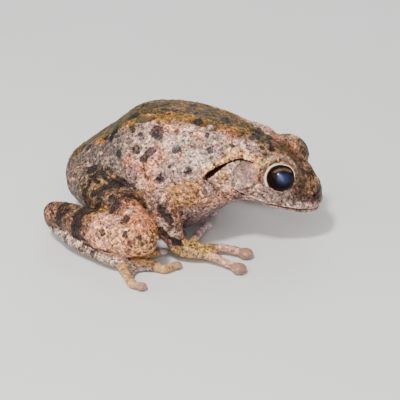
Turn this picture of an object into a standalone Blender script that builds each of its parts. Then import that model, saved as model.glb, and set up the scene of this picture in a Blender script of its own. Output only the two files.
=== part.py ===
"""A life-size spot-legged tree frog at rest with its legs folded, divided into its named parts.

Every length in this file is in millimetres while the shapes are grown, joined and cut. +X points
to the snout, +Y to the frog's left, +Z up, and the floor is at zero. The last step writes the
meshes in metres and centres the model on its base.
"""

import math

import bmesh
import bpy
import numpy as np
from mathutils import Matrix, Vector

MM = 0.001
GAP = 0.3  # clearance between neighbouring parts
SIDES = {"right": 1.0, "left": -1.0}  # the tables describe the right side, where y is negative

# Trunk and head as one row of upright sections from rump to snout:
# x, half width, height of the widest line, top, bottom, roundness above and below that line.
# Ahead of the mouth corner the widest line is the line of the mouth.
BODY_SECTIONS = (
    (-29.6, 0.0, 9.4, 9.4, 9.4, 2.0, 2.0),
    (-29.0, 3.2, 9.4, 12.6, 6.2, 2.0, 2.0),
    (-27.2, 6.2, 9.2, 15.2, 3.6, 2.1, 2.1),
    (-23.5, 9.0, 9.2, 18.2, 1.6, 2.1, 2.2),
    (-18.5, 11.6, 9.8, 22.0, 0.2, 2.1, 2.3),
    (-12.0, 13.9, 11.2, 27.1, -0.4, 2.1, 2.4),
    (-5.0, 15.4, 12.0, 28.9, -0.4, 2.1, 2.4),
    (2.0, 14.9, 13.0, 28.8, 1.4, 2.1, 2.3),
    (8.0, 13.0, 14.4, 27.5, 5.7, 2.2, 2.2),
    (12.5, 11.4, 15.3, 25.9, 8.8, 2.3, 2.1),
    (16.5, 10.6, 14.9, 24.3, 10.2, 2.4, 2.1),
    (20.0, 10.0, 13.2, 22.8, 9.6, 2.5, 2.1),
    (24.0, 8.5, 11.1, 20.4, 8.5, 2.5, 2.1),
    (27.5, 6.3, 9.3, 17.3, 7.5, 2.4, 2.1),
    (30.0, 4.1, 8.2, 14.2, 6.9, 2.3, 2.1),
    (31.3, 2.2, 7.9, 11.9, 7.0, 2.1, 2.0),
    (31.8, 0.0, 8.6, 8.6, 8.6, 2.0, 2.0),
)
BODY_RINGS, BODY_SPOKES = 140, 112
BODY_VOXEL, BODY_ROUNDS = 0.26, 8  # size of the even mesh and how often it is smoothed
BODY_FACES = 5250
HEAD_STARTS, HEAD_WHOLE, HEAD_FINE = 11.0, 14.0, 0.12  # between these the skin's mesh gets finer

NECK_CUT_X, NECK_CUT_Z, NECK_CUT_LEAN = 12.2, 16.0, math.radians(8)

EYE_CENTRE = (23.35, -7.3, 17.65)
EYE_AXIS = (0.18, -0.93, 0.32)
EYE_RADIUS = 3.05
ORBIT_CENTRE = (22.8, -6.2, 18.2)
ORBIT_RADIUS = 4.3
ORBIT_BLEND, ORBIT_BLEND_ROUNDS = 1.6, 60  # width and strength of the soft join around it
ORBIT_INNER = (2.0, 3.5)  # the crown between the orbits keeps its shape inside these distances
LID_OPENING = math.radians(68)
LID_EDGE = math.radians(8)
LID_RIM, LID_THICKNESS = 0.16, 0.32
LID_SINK = 0.86  # inside the lids the skin lies this share of the eye's radius from its middle
LID_BACK = -0.2  # behind this plane through the eye the skin stays as it is

MOUTH_CORNER_X, MOUTH_DEPTH, MOUTH_HALF_WIDTH, MOUTH_POINTS = 13.7, 0.55, 0.36, 400
MOUTH_FADE = (-0.8, 1.2)  # where the line of the mouth fades in about its corner
JAW_SETBACK, JAW_START, JAW_END = 0.35, (-0.1, 0.3), (1.0, 3.0)  # depth and reach below the line
LIP_FULLNESS, LIP_RISE, LIP_HALF_WIDTH = 0.2, 0.85, 0.5

EARDRUM_CENTRE = (16.2, -10.2, 19.4)
EARDRUM_AXIS = (0.05, -0.93, 0.36)
EARDRUM_RADIUS = 2.8
EARDRUM_RIM, EARDRUM_RIM_WIDTH, EARDRUM_DEPTH = 0.28, 0.4, 0.3
EARDRUM_STEP = (0.6, 0.2)  # the drum's edge lies between these distances inside its radius
EARDRUM_REACH = 3.0

# Lines on the side of the face: points, ridge height, offset and half width, then the same for
# the hollow that runs along under the ridge.
FACE_LINES = {
    "fold over the eardrum": (
        (
            (19.4, -9.8, 20.6),
            (16.4, -9.7, 22.2),
            (13.8, -10.4, 22.2),
            (11.0, -11.6, 20.9),
            (6.6, -13.4, 18.4),
        ),
        (0.65, 0.75, 0.8),
        (0.6, -0.3, 0.5),
    ),
    "canthus": (
        (
            (25.6, -6.6, 18.2),
            (27.4, -5.4, 16.2),
            (29.0, -4.0, 14.2),
            (30.4, -2.6, 12.4),
        ),
        (0.4, 0.1, 0.8),
        (0.4, -1.7, 1.0),
    ),
}
FACE_LINE_POINTS = 60
FACE_LINE_REACH, FACE_LINE_DEPTH = 4.0, 3.5  # how far from a line the skin moves, along and across
FACE_LINE_START, FACE_LINE_END = (-0.15, 0.2), (0.8, 1.0)  # where a line fades in and out

# Ridges of the hip bones under the skin of the back: x and distance from the middle.
HIP_RIDGE = ((-27.0, 3.4), (-20.0, 4.8), (-13.0, 6.0), (-6.0, 7.0))
HIP_HEIGHT, HIP_HALF_WIDTH, SPINE_HOLLOW, SPINE_HALF_WIDTH = 0.45, 1.5, 0.3, 2.2
HIP_RISE = (10.0, 14.0)  # the hips stand out above these heights
HIP_FADE = (1.0, 4.0)  # lengths over which the ridges fade behind and ahead

NOSTRIL = (30.0, -2.5, 11.9)
NOSTRIL_RADIUS, NOSTRIL_DEPTH = 0.55, 0.55
NOSTRIL_RIM, NOSTRIL_RIM_WIDTH = 0.3, 0.45

# Limb lengths as rows of x, y, z, half width, half height.
THIGH = (
    (-23.0, -6.4, 10.4, 4.4, 5.0),
    (-17.5, -11.4, 10.8, 4.9, 5.2),
    (-11.0, -17.1, 10.8, 4.2, 4.5),
    (-6.6, -21.4, 10.5, 3.3, 3.6),
    (-3.6, -24.3, 9.9, 3.0, 3.3),
)
SHANK = (
    (-3.2, -25.6, 7.6, 3.1, 3.3),
    (-6.2, -25.0, 7.4, 3.8, 4.0),
    (-11.2, -23.4, 7.1, 4.5, 4.5),
    (-17.0, -21.0, 7.1, 3.9, 4.0),
    (-22.8, -18.7, 7.3, 3.1, 3.3),
    (-26.9, -17.4, 6.9, 2.6, 2.9),
)
TARSUS = (
    (-27.7, -16.3, 4.5, 2.1, 2.1),
    (-24.4, -19.0, 3.7, 1.8, 1.6),
    (-20.2, -22.0, 3.1, 1.8, 1.5),
    (-14.5, -24.4, 2.7, 1.9, 1.5),
    (-9.6, -25.7, 2.1, 2.2, 1.3),
    (-7.0, -25.4, 1.5, 1.9, 1.2),
)
UPPER_ARM = (
    (10.0, -9.0, 13.6, 2.9, 3.2),
    (6.2, -13.4, 14.6, 2.6, 2.8),
    (2.0, -17.4, 15.4, 2.3, 2.4),
    (-0.9, -20.0, 15.9, 2.1, 2.1),
)
FOREARM = (
    (-0.9, -20.3, 15.4, 2.1, 2.1),
    (0.0, -19.5, 12.2, 3.0, 2.9),
    (0.9, -18.7, 8.1, 3.1, 3.0),
    (1.9, -18.2, 4.8, 2.4, 2.2),
)
PALM = (
    (2.6, -18.3, 3.2, 2.2, 1.8),
    (5.4, -17.7, 2.6, 2.8, 1.7),
    (8.7, -16.8, 2.0, 2.8, 1.3),
)
# Digits as rows of x, y, z along the bones, from the sole or palm to the middle of the pad.
FINGERS = {
    "first": ((3.4, -16.3, 2.6), (2.0, -12.8, 2.4), (1.2, -10.6, 1.8), (0.6, -8.8, 0.95)),
    "second": ((5.0, -15.7, 2.5), (5.2, -11.6, 2.5), (5.4, -7.2, 2.0), (5.3, -3.3, 0.95)),
    "third": ((8.0, -15.6, 2.0), (11.6, -14.2, 2.0), (14.6, -14.0, 1.6), (17.3, -14.0, 1.15)),
    "fourth": ((8.0, -17.8, 1.9), (11.4, -18.9, 1.9), (14.5, -19.9, 1.5), (17.4, -20.8, 1.15)),
}
FINGER_SIZES = {"first": 0.82, "second": 0.82, "third": 1.0, "fourth": 1.0}
FINGER_RADIUS, FINGER_PAD = 1.0, (1.8, 1.75, 1.2)
TOES = {
    "first": ((-9.0, -24.4, 1.6), (-8.6, -22.0, 1.5), (-8.4, -19.6, 1.0)),
    "second": ((-8.0, -24.6, 1.6), (-6.6, -21.6, 1.5), (-5.4, -18.4, 0.9)),
    "third": ((-7.4, -25.0, 1.6), (-4.6, -22.6, 1.6), (-2.6, -20.2, 1.5), (-1.0, -18.0, 1.2)),
    "fourth": ((-7.2, -25.4, 1.6), (-2.4, -24.2, 1.5), (1.4, -25.2, 1.2), (3.5, -22.6, 0.9)),
    "fifth": ((-8.4, -26.4, 1.6), (-5.8, -30.0, 1.4), (-3.6, -32.8, 1.1), (-1.4, -33.2, 0.9)),
}
TOE_RADIUS, TOE_PAD = 0.9, (1.4, 1.3, 0.8)
KNUCKLE_SWELL = 1.06
WEB_REACH, WEB_DIP, WEB_THICKNESS, WEB_HEIGHT = 0.62, 0.45, 0.7, 0.75
WEB_COLUMNS, WEB_ROWS, WEB_POINTS = 7, 6, 24  # across, along, and places read along each toe
DIGIT_VOXEL, DIGIT_ROUNDS = 0.26, 2
HAND_FACES, FOOT_FACES = 980, 1250
DIGIT_TAPER = (1.15, 0.35)  # thickness at the base as a share of the radius, and its loss by the tip


# Points around and along each kind of part.
LIMB_SPOKES, LIMB_RINGS = 16, 12
PALM_RINGS = 8
DIGIT_SPOKES, DIGIT_RINGS = 12, 10
BALL_SPOKES, BALL_RINGS = 20, 12
KNUCKLE_SPOKES, KNUCKLE_RINGS = 12, 8
SOCKET_SPOKES, SOCKET_RINGS = 24, 16
ORBIT_SPOKES, ORBIT_RINGS = 48, 32
END_BENDS = (math.radians(60), math.radians(30))  # the extra rings that round a limb's end
CUT_REACH = 80.0  # the cutting blocks reach past the frog on every side

SKIN_GREY = (0.50, 0.41, 0.34)
SKIN_OCHRE = (0.47, 0.31, 0.13)
SKIN_PINK = (0.46, 0.29, 0.22)
PAD_PINK = (0.52, 0.36, 0.28)
EYE_DARK = (0.02, 0.02, 0.035)


def smoothed_rows(rows, count):
    """Reads a smooth curve through the rows at evenly spaced places."""
    keys = np.array(rows, float)
    ends = np.vstack([2 * keys[0] - keys[1], keys, 2 * keys[-1] - keys[-2]])
    place = np.linspace(0, len(keys) - 1, count)
    index = np.minimum(place.astype(int), len(keys) - 2)
    t = (place - index)[:, None]
    a, b, c, d = (ends[index + i] for i in range(4))
    return b + 0.5 * t * (c - a + t * (2 * a - 5 * b + 4 * c - d + t * (3 * (b - c) + d - a)))


def smoothstep(value, low, high):
    """Rises smoothly from 0 at low to 1 at high."""
    t = np.clip((value - low) / (high - low), 0, 1)
    return t * t * (3 - 2 * t)


def mesh_object(name, points, faces):
    """Makes a mesh object with its faces pointing out."""
    mesh = bpy.data.meshes.new(name)
    mesh.from_pydata([tuple(p) for p in points], [], faces)
    work = bmesh.new()
    work.from_mesh(mesh)
    bmesh.ops.recalc_face_normals(work, faces=work.faces)
    work.to_mesh(mesh)
    work.free()
    thing = bpy.data.objects.new(name, mesh)
    bpy.context.scene.collection.objects.link(thing)
    return thing


def ring_skin(name, rings, start, end):
    """Closes rows of rings into a solid between two end points."""
    count, spokes, _ = rings.shape
    points = np.vstack([rings.reshape(-1, 3), start, end])
    faces = []
    for i in range(count - 1):
        for j in range(spokes):
            k = (j + 1) % spokes
            faces.append((i * spokes + j, i * spokes + k, (i + 1) * spokes + k, (i + 1) * spokes + j))
    first, last, tail = count * spokes, count * spokes + 1, (count - 1) * spokes
    for j in range(spokes):
        k = (j + 1) % spokes
        faces.append((first, k, j))
        faces.append((last, tail + j, tail + k))
    return mesh_object(name, points, faces)


def tube(name, rows, side=1.0, rings=LIMB_RINGS, spokes=LIMB_SPOKES):
    """Makes a round-ended limb length from rows of x, y, z, half width and half height."""
    line = smoothed_rows(rows, rings)
    line[:, 1] *= side
    centre, wide, high = line[:, :3], line[:, 3], line[:, 4]
    tangent = np.gradient(centre, axis=0)
    tangent /= np.linalg.norm(tangent, axis=1)[:, None]
    level = np.cross(tangent, (0.0, 0.0, 1.0))
    level /= np.linalg.norm(level, axis=1)[:, None]
    rise = np.cross(level, tangent)
    turn = np.linspace(0, 2 * math.pi, spokes, endpoint=False)

    def ring(i, shift, scale):
        """Returns the ring at one row, moved along the limb and scaled."""
        across = level[i] * wide[i] * scale
        upward = rise[i] * high[i] * scale
        middle = centre[i] + tangent[i] * shift
        return middle + np.cos(turn)[:, None] * across + np.sin(turn)[:, None] * upward

    made = [ring(0, -wide[0] * math.sin(bend), math.cos(bend)) for bend in END_BENDS]
    made += [ring(i, 0.0, 1.0) for i in range(rings)]
    made += [ring(-1, wide[-1] * math.sin(bend), math.cos(bend)) for bend in reversed(END_BENDS)]
    start = centre[0] - tangent[0] * wide[0]
    end = centre[-1] + tangent[-1] * wide[-1]
    return ring_skin(name, np.array(made), start, end)


def ball(name, centre, radii, heading=0.0, spokes=BALL_SPOKES, rings=BALL_RINGS):
    """Makes an ellipsoid, turned about the vertical by heading."""
    thing = mesh_object(name, [], [])
    work = bmesh.new()
    bmesh.ops.create_uvsphere(work, u_segments=spokes, v_segments=rings, radius=1.0)
    turn = Matrix.Rotation(heading, 4, "Z")
    work.transform(Matrix.Translation(centre) @ turn @ Matrix.Diagonal((*radii, 1.0)))
    work.to_mesh(thing.data)
    work.free()
    return thing


def box(name, low, high):
    """Makes a box between two corners."""
    thing = mesh_object(name, [], [])
    work = bmesh.new()
    bmesh.ops.create_cube(work, size=1.0)
    low, high = Vector(low), Vector(high)
    work.transform(Matrix.Translation((low + high) / 2) @ Matrix.Diagonal((*(high - low), 1.0)))
    work.to_mesh(thing.data)
    work.free()
    return thing


def discard(*things):
    """Removes helper objects with their meshes."""
    for thing in things:
        mesh = thing.data
        bpy.data.objects.remove(thing)
        bpy.data.meshes.remove(mesh)


def bake(thing):
    """Applies the object's modifiers to its mesh."""
    bpy.context.view_layer.update()
    graph = bpy.context.evaluated_depsgraph_get()
    mesh = bpy.data.meshes.new_from_object(thing.evaluated_get(graph))
    old = thing.data
    thing.modifiers.clear()
    thing.data = mesh
    bpy.data.meshes.remove(old)
    mesh.name = thing.name


def keep_largest(thing):
    """Keeps the largest closed surface of the object."""
    work = bmesh.new()
    work.from_mesh(thing.data)
    unseen, groups = set(work.verts), []
    while unseen:
        group, queue = set(), [unseen.pop()]
        while queue:
            vertex = queue.pop()
            group.add(vertex)
            for edge in vertex.link_edges:
                other = edge.other_vert(vertex)
                if other in unseen:
                    unseen.discard(other)
                    queue.append(other)
        groups.append(group)
    groups.sort(key=len)
    for group in groups[:-1]:
        bmesh.ops.delete(work, geom=list(group), context="VERTS")
    bmesh.ops.triangulate(work, faces=work.faces)
    work.to_mesh(thing.data)
    work.free()


def cut(thing, *cutters):
    """Takes the cutters away from the object, one after another, and removes them."""
    for cutter in cutters:
        modifier = thing.modifiers.new("cut", "BOOLEAN")
        modifier.operation = "DIFFERENCE"
        modifier.solver = "EXACT"
        modifier.object = cutter
        bake(thing)
    discard(*cutters)
    keep_largest(thing)


def fuse(name, pieces):
    """Joins closed pieces into one solid by a Boolean union."""
    first, others = pieces[0], pieces[1:]
    group = bpy.data.collections.new(name + "_pieces")
    for piece in others:
        group.objects.link(piece)
    modifier = first.modifiers.new("fuse", "BOOLEAN")
    modifier.operation = "UNION"
    modifier.solver = "EXACT"
    modifier.operand_type = "COLLECTION"
    modifier.collection = group
    bake(first)
    bpy.data.collections.remove(group)
    discard(*others)
    first.name = name
    return first


def remesh(thing, voxel, rounds):
    """Lays an even mesh over the object and smooths it."""
    modifier = thing.modifiers.new("even", "REMESH")
    modifier.mode = "VOXEL"
    modifier.voxel_size = voxel
    soften = thing.modifiers.new("soften", "SMOOTH")
    soften.factor = 0.5
    soften.iterations = rounds
    bake(thing)


def weigh(thing, name, weights):
    """Gives the object's points a named set of weights and returns the name."""
    group = thing.vertex_groups.new(name=name)
    levels = np.round(weights, 1)
    for level in np.unique(levels[levels > 0]):
        group.add(np.flatnonzero(levels == level).tolist(), float(level), "REPLACE")
    return group.name


def blend_orbits(body):
    """Softens the join between each orbit and the face."""
    points, _ = read_mesh(body.data)
    near = np.zeros(len(points))
    for side in SIDES.values():
        distance = np.linalg.norm(points - np.array(ORBIT_CENTRE) * (1, side, 1), axis=1)
        near = np.maximum(near, np.exp(-(((distance - ORBIT_RADIUS) / ORBIT_BLEND) ** 2)))
    outer = smoothstep(np.abs(points[:, 1]), *ORBIT_INNER)
    soften = body.modifiers.new("blend", "SMOOTH")
    soften.vertex_group = weigh(body, "orbits", near * outer)
    soften.factor = 0.5
    soften.iterations = ORBIT_BLEND_ROUNDS
    bake(body)


def thin_out(thing, faces, coarseness=None):
    """Reduces the object to about that many triangles, the fewest where it may be coarse."""
    modifier = thing.modifiers.new("thin", "DECIMATE")
    if coarseness is not None:
        modifier.vertex_group = weigh(thing, "coarse", coarseness)
        modifier.vertex_group_factor = 1.0
    have = sum(len(p.vertices) - 2 for p in thing.data.polygons)
    modifier.ratio = min(1.0, faces / have)
    modifier.use_collapse_triangulate = True
    bake(thing)


def grown(thing, amount):
    """Returns a copy whose surface stands out by that amount."""
    mesh = thing.data.copy()
    copy = bpy.data.objects.new(thing.name + "_grown", mesh)
    bpy.context.scene.collection.objects.link(copy)
    points, normals = read_mesh(mesh)
    write_points(mesh, points + normals * amount)
    return copy


def read_mesh(mesh):
    """Returns the mesh's points and their normals."""
    points = np.zeros(len(mesh.vertices) * 3)
    mesh.vertices.foreach_get("co", points)
    normals = np.zeros(len(mesh.vertices) * 3)
    mesh.vertex_normals.foreach_get("vector", normals)
    return points.reshape(-1, 3), normals.reshape(-1, 3)


def write_points(mesh, points):
    """Moves the mesh's points."""
    mesh.vertices.foreach_set("co", points.astype(np.float32).ravel())
    mesh.update()


def body_rings():
    """Returns the rings of the trunk and head from their sections."""
    line = smoothed_rows(BODY_SECTIONS, BODY_RINGS + 2)
    x, wide, widest, top, bottom, above, below = line[1:-1].T
    turn = np.linspace(0, 2 * math.pi, BODY_SPOKES, endpoint=False)
    cosine, sine = np.cos(turn), np.sin(turn)
    power = np.where(sine[None, :] >= 0, 2 / above[:, None], 2 / below[:, None])
    reach = np.where(sine[None, :] >= 0, (top - widest)[:, None], (widest - bottom)[:, None])
    y = wide[:, None] * np.sign(cosine) * np.abs(cosine) ** power
    z = widest[:, None] + reach * np.sign(sine) * np.abs(sine) ** power
    rings = np.stack([np.repeat(x[:, None], BODY_SPOKES, 1), y, z], axis=2)
    return rings, line[0, [0, 1, 2]], line[-1, [0, 1, 2]]


def mouth_height(x):
    """Returns the height of the line of the mouth at each x."""
    line = smoothed_rows(BODY_SECTIONS, MOUTH_POINTS)
    return np.interp(x, line[:, 0], line[:, 2])


def press_mouth(points, normals):
    """Sinks the line of the mouth and sets the lower jaw back under the upper lip."""
    above = points[:, 2] - mouth_height(points[:, 0])
    ahead = smoothstep(points[:, 0] - MOUTH_CORNER_X, *MOUTH_FADE)
    groove = MOUTH_DEPTH * np.exp(-((above / MOUTH_HALF_WIDTH) ** 2))
    lip = LIP_FULLNESS * np.exp(-(((above - LIP_RISE) / LIP_HALF_WIDTH) ** 2))
    jaw = JAW_SETBACK * smoothstep(-above, *JAW_START) * (1 - smoothstep(-above, *JAW_END))
    return points + normals * (ahead * (lip - groove - jaw))[:, None]


def open_lids(points, side):
    """Shapes the lids: the skin dips below the eyeball inside their round edge."""
    centre = np.array(EYE_CENTRE) * (1, side, 1)
    axis = np.array(EYE_AXIS) * (1, side, 1)
    axis /= np.linalg.norm(axis)
    out = points - centre
    distance = np.linalg.norm(out, axis=1)
    angle = np.arccos(np.clip(out @ axis / np.maximum(distance, 1e-9), -1, 1))
    near = (distance < 2 * EYE_RADIUS) & (out @ axis > LID_BACK)
    rise = smoothstep(angle, LID_OPENING, LID_OPENING + LID_EDGE)
    edge = LID_RIM * np.exp(-(((angle - LID_OPENING - LID_EDGE) / LID_EDGE) ** 2))
    lid = np.maximum(distance, EYE_RADIUS + GAP + LID_THICKNESS) + edge
    wanted = LID_SINK * EYE_RADIUS * (1 - rise) + lid * rise
    scale = np.where(near, wanted / np.maximum(distance, 1e-9), 1.0)
    return centre + out * scale[:, None]


def set_eardrum(points, normals, side):
    """Sinks a round, flat eardrum inside a low rim."""
    centre = np.array(EARDRUM_CENTRE) * (1, side, 1)
    axis = np.array(EARDRUM_AXIS) * (1, side, 1)
    axis /= np.linalg.norm(axis)
    out = points - centre
    depth = out @ axis
    radius = np.linalg.norm(out - depth[:, None] * axis, axis=1)
    near = (radius < 2 * EARDRUM_RADIUS) & (np.abs(depth) < EARDRUM_REACH)
    rim = EARDRUM_RIM * np.exp(-(((radius - EARDRUM_RADIUS) / EARDRUM_RIM_WIDTH) ** 2))
    inner, outer = EARDRUM_STEP
    drum = -EARDRUM_DEPTH * (1 - smoothstep(radius, EARDRUM_RADIUS - inner, EARDRUM_RADIUS - outer))
    return points + normals * (np.where(near, rim + drum, 0.0))[:, None]


def raise_line(points, normals, side, line, ridge, hollow):
    """Raises a ridge along a line on the side of the face, with a hollow under it."""
    line = smoothed_rows(line, FACE_LINE_POINTS) * (1, side, 1)
    gaps = np.linalg.norm(points[:, None, ::2] - line[None, :, ::2], axis=2)
    nearest = gaps.argmin(axis=1)
    along = nearest / (len(line) - 1)
    tangent = np.gradient(line[:, ::2], axis=0)[nearest]
    tangent /= np.linalg.norm(tangent, axis=1)[:, None]
    off = points[:, ::2] - line[nearest][:, ::2]
    above = tangent[:, 1] * off[:, 0] - tangent[:, 0] * off[:, 1]
    if line[0, 0] < line[-1, 0]:
        above = -above
    close = np.abs(points[:, 1] - line[nearest][:, 1]) < FACE_LINE_DEPTH
    beside = close & (gaps.min(axis=1) < FACE_LINE_REACH)
    taper = smoothstep(along, *FACE_LINE_START) * (1 - smoothstep(along, *FACE_LINE_END))
    raised = ridge[0] * np.exp(-(((above - ridge[1]) / ridge[2]) ** 2))
    sunk = hollow[0] * np.exp(-(((above - hollow[1]) / hollow[2]) ** 2))
    return points + normals * (np.where(beside, taper * (raised - sunk), 0.0))[:, None]


def raise_hips(points, normals):
    """Raises the two ridges of the hip bones and sinks the line of the spine between them."""
    x, y, z = points.T
    ridge = np.array(HIP_RIDGE)
    beside = np.abs(y) - np.interp(x, ridge[:, 0], ridge[:, 1])
    behind, ahead = HIP_FADE
    reach = smoothstep(x, ridge[0, 0] - behind, ridge[1, 0])
    reach *= 1 - smoothstep(x, ridge[2, 0], ridge[3, 0] + ahead)
    upper = smoothstep(z, *HIP_RISE)
    raised = HIP_HEIGHT * np.exp(-((beside / HIP_HALF_WIDTH) ** 2))
    sunk = SPINE_HOLLOW * np.exp(-((y / SPINE_HALF_WIDTH) ** 2))
    return points + normals * (upper * reach * (raised - sunk))[:, None]


def sink_nostril(points, normals, side):
    """Sinks the nostril inside a low rim."""
    centre = np.array(NOSTRIL) * (1, side, 1)
    radius = np.linalg.norm(points - centre, axis=1)
    pit = -NOSTRIL_DEPTH * np.exp(-((radius / NOSTRIL_RADIUS) ** 2))
    rim = NOSTRIL_RIM * np.exp(-(((radius - 2 * NOSTRIL_RADIUS) / NOSTRIL_RIM_WIDTH) ** 2))
    return points + normals * (pit + rim)[:, None]


def whole_body():
    """Makes the trunk and head as one skin with the face's own forms."""
    rings, start, end = body_rings()
    pieces = [ring_skin("body", rings, (start[0], 0, start[2]), (end[0], 0, end[2]))]
    for side in SIDES.values():
        x, y, z = ORBIT_CENTRE
        radii = (ORBIT_RADIUS,) * 3
        pieces.append(ball("orbit", (x, y * side, z), radii, 0.0, ORBIT_SPOKES, ORBIT_RINGS))
    body = fuse("body", pieces)
    remesh(body, BODY_VOXEL, BODY_ROUNDS)
    blend_orbits(body)
    mesh = body.data
    points, normals = read_mesh(mesh)
    write_points(mesh, press_mouth(points, normals))
    write_points(mesh, raise_hips(*read_mesh(mesh)))
    for side in SIDES.values():
        write_points(mesh, set_eardrum(*read_mesh(mesh), side))
        for line, ridge, hollow in FACE_LINES.values():
            write_points(mesh, raise_line(*read_mesh(mesh), side, line, ridge, hollow))
        write_points(mesh, sink_nostril(*read_mesh(mesh), side))
    for side in SIDES.values():
        write_points(mesh, open_lids(read_mesh(mesh)[0], side))
    ahead = smoothstep(read_mesh(mesh)[0][:, 0], HEAD_STARTS, HEAD_WHOLE)
    thin_out(body, BODY_FACES, 1.0 - (1.0 - HEAD_FINE) * ahead)
    return body


def neck_block(name, ahead):
    """Makes a block that covers everything ahead of the neck cut, or everything behind it."""
    edge = GAP / 2
    low, high = (-edge, CUT_REACH) if ahead else (-CUT_REACH, edge)
    block = box(name, (low, -CUT_REACH, -CUT_REACH), (high, CUT_REACH, CUT_REACH))
    lean = Matrix.Rotation(NECK_CUT_LEAN, 4, "Y")
    block.data.transform(Matrix.Translation((NECK_CUT_X, 0, NECK_CUT_Z)) @ lean)
    return block


def split_body(body):
    """Parts the body at the neck, and sinks the eye sockets in the head."""
    head = bpy.data.objects.new("head", body.data.copy())
    bpy.context.scene.collection.objects.link(head)
    body.name = "torso"
    cut(body, neck_block("ahead", True))
    sockets = []
    for side in SIDES.values():
        x, y, z = EYE_CENTRE
        radii = (EYE_RADIUS + GAP,) * 3
        sockets.append(ball("socket", (x, y * side, z), radii, 0.0, SOCKET_SPOKES, SOCKET_RINGS))
    cut(head, neck_block("behind", False), *sockets)
    return body, head


def digit(name, rows, radius, pad, side):
    """Makes one finger or toe with its round pad, as a list of closed pieces."""
    line = np.array(rows, float)
    share = np.linspace(0, 1, len(line))
    thick = radius * (DIGIT_TAPER[0] - DIGIT_TAPER[1] * share)
    keys = np.column_stack([line, thick, thick])
    heading = math.atan2((line[-1, 1] - line[-2, 1]) * side, line[-1, 0] - line[-2, 0])
    tip = line[-1] * (1, side, 1)
    knuckle = line[len(line) // 2] * (1, side, 1)
    swell = (radius * KNUCKLE_SWELL,) * 3
    return [
        tube(name, keys, side, DIGIT_RINGS, DIGIT_SPOKES),
        ball(name + "_knuckle", knuckle, swell, 0.0, KNUCKLE_SPOKES, KNUCKLE_RINGS),
        ball(name + "_pad", tip, pad, heading),
    ]


def web(name, first, second, side):
    """Makes the thin skin between two toes, with a hollow free edge."""
    one, two = smoothed_rows(first, WEB_POINTS), smoothed_rows(second, WEB_POINTS)
    reach = int(WEB_REACH * (WEB_POINTS - 1))
    columns = []
    for share in np.linspace(0, 1, WEB_COLUMNS):
        dip = 1 - WEB_DIP * 4 * share * (1 - share)
        along = np.linspace(0, round(reach * dip), WEB_ROWS).round().astype(int)
        columns.append(one[along] * (1 - share) + two[along] * share)
    grid = np.array(columns)
    grid[:, :, 1] *= side
    low, high = grid.copy(), grid.copy()
    low[:, :, 2], high[:, :, 2] = WEB_HEIGHT - WEB_THICKNESS / 2, WEB_HEIGHT + WEB_THICKNESS / 2
    rows, cols = grid.shape[:2]
    points = np.vstack([low.reshape(-1, 3), high.reshape(-1, 3)])
    size, faces = rows * cols, []
    for i in range(rows - 1):
        for j in range(cols - 1):
            a, b, c, d = i * cols + j, (i + 1) * cols + j, (i + 1) * cols + j + 1, i * cols + j + 1
            faces += [(a, b, c, d), (d + size, c + size, b + size, a + size)]
    rim = list(range(cols))
    rim += [i * cols + cols - 1 for i in range(1, rows)]
    rim += [(rows - 1) * cols + j for j in range(cols - 2, -1, -1)]
    rim += [i * cols for i in range(rows - 2, 0, -1)]
    for a, b in zip(rim, rim[1:] + rim[:1]):
        faces.append((a, b, b + size, a + size))
    return mesh_object(name, points, faces)


def hand(side):
    """Makes the palm with its four fingers."""
    pieces = [tube("palm", PALM, side, PALM_RINGS)]
    for name, rows in FINGERS.items():
        size = FINGER_SIZES[name]
        pad = tuple(size * radius for radius in FINGER_PAD)
        pieces += digit("finger_" + name, rows, size * FINGER_RADIUS, pad, side)
    return digits_joined("hand", pieces, HAND_FACES)


def foot(side):
    """Makes the long ankle and sole with the five webbed toes."""
    pieces = [tube("tarsus", TARSUS, side)]
    names = list(TOES)
    for name in names:
        pieces += digit("toe_" + name, TOES[name], TOE_RADIUS, TOE_PAD, side)
    for one, two in zip(names, names[1:]):
        pieces.append(web(f"web_{one}_{two}", TOES[one], TOES[two], side))
    return digits_joined("foot", pieces, FOOT_FACES)


def digits_joined(name, pieces, faces):
    """Joins the pieces of a hand or foot and rounds the joins."""
    joined = fuse(name, pieces)
    remesh(joined, DIGIT_VOXEL, DIGIT_ROUNDS)
    keep_largest(joined)
    thin_out(joined, faces)
    return joined


def floor_block():
    """Makes the block below the floor, which leaves the small flats that the frog rests on."""
    return box("below", (-CUT_REACH, -CUT_REACH, -CUT_REACH), (CUT_REACH, CUT_REACH, 0))


def limbs(label, side, torso, head):
    """Makes one side's arm and leg, each length clear of what it folds against."""
    def near(*things):
        """Returns the things grown by the clearance, as cutters."""
        return [grown(thing, GAP) for thing in things]

    made = {
        "thigh": tube("thigh", THIGH, side),
        "shank": tube("shank", SHANK, side),
        "foot": foot(side),
        "upper_arm": tube("upper_arm", UPPER_ARM, side),
        "forearm": tube("forearm", FOREARM, side),
        "hand": hand(side),
    }
    cut(made["thigh"], *near(torso))
    cut(made["shank"], *near(torso, made["thigh"]))
    cut(made["foot"], *near(torso, made["thigh"], made["shank"]), floor_block())
    cut(made["upper_arm"], *near(torso, head))
    cut(made["forearm"], *near(torso, made["upper_arm"], made["thigh"], made["shank"]))
    cut(made["hand"], *near(torso, made["forearm"], made["shank"], made["foot"]), floor_block())
    for name, thing in made.items():
        thing.name = f"{name}_{label}"
    return made


def material(name, colour, roughness):
    """Makes a plain skin or eye finish."""
    made = bpy.data.materials.new(name)
    made.use_nodes = True
    shader = made.node_tree.nodes["Principled BSDF"]
    shader.inputs["Base Color"].default_value = (*colour, 1.0)
    shader.inputs["Roughness"].default_value = roughness
    made.diffuse_color = (*colour, 1.0)
    return made


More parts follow.
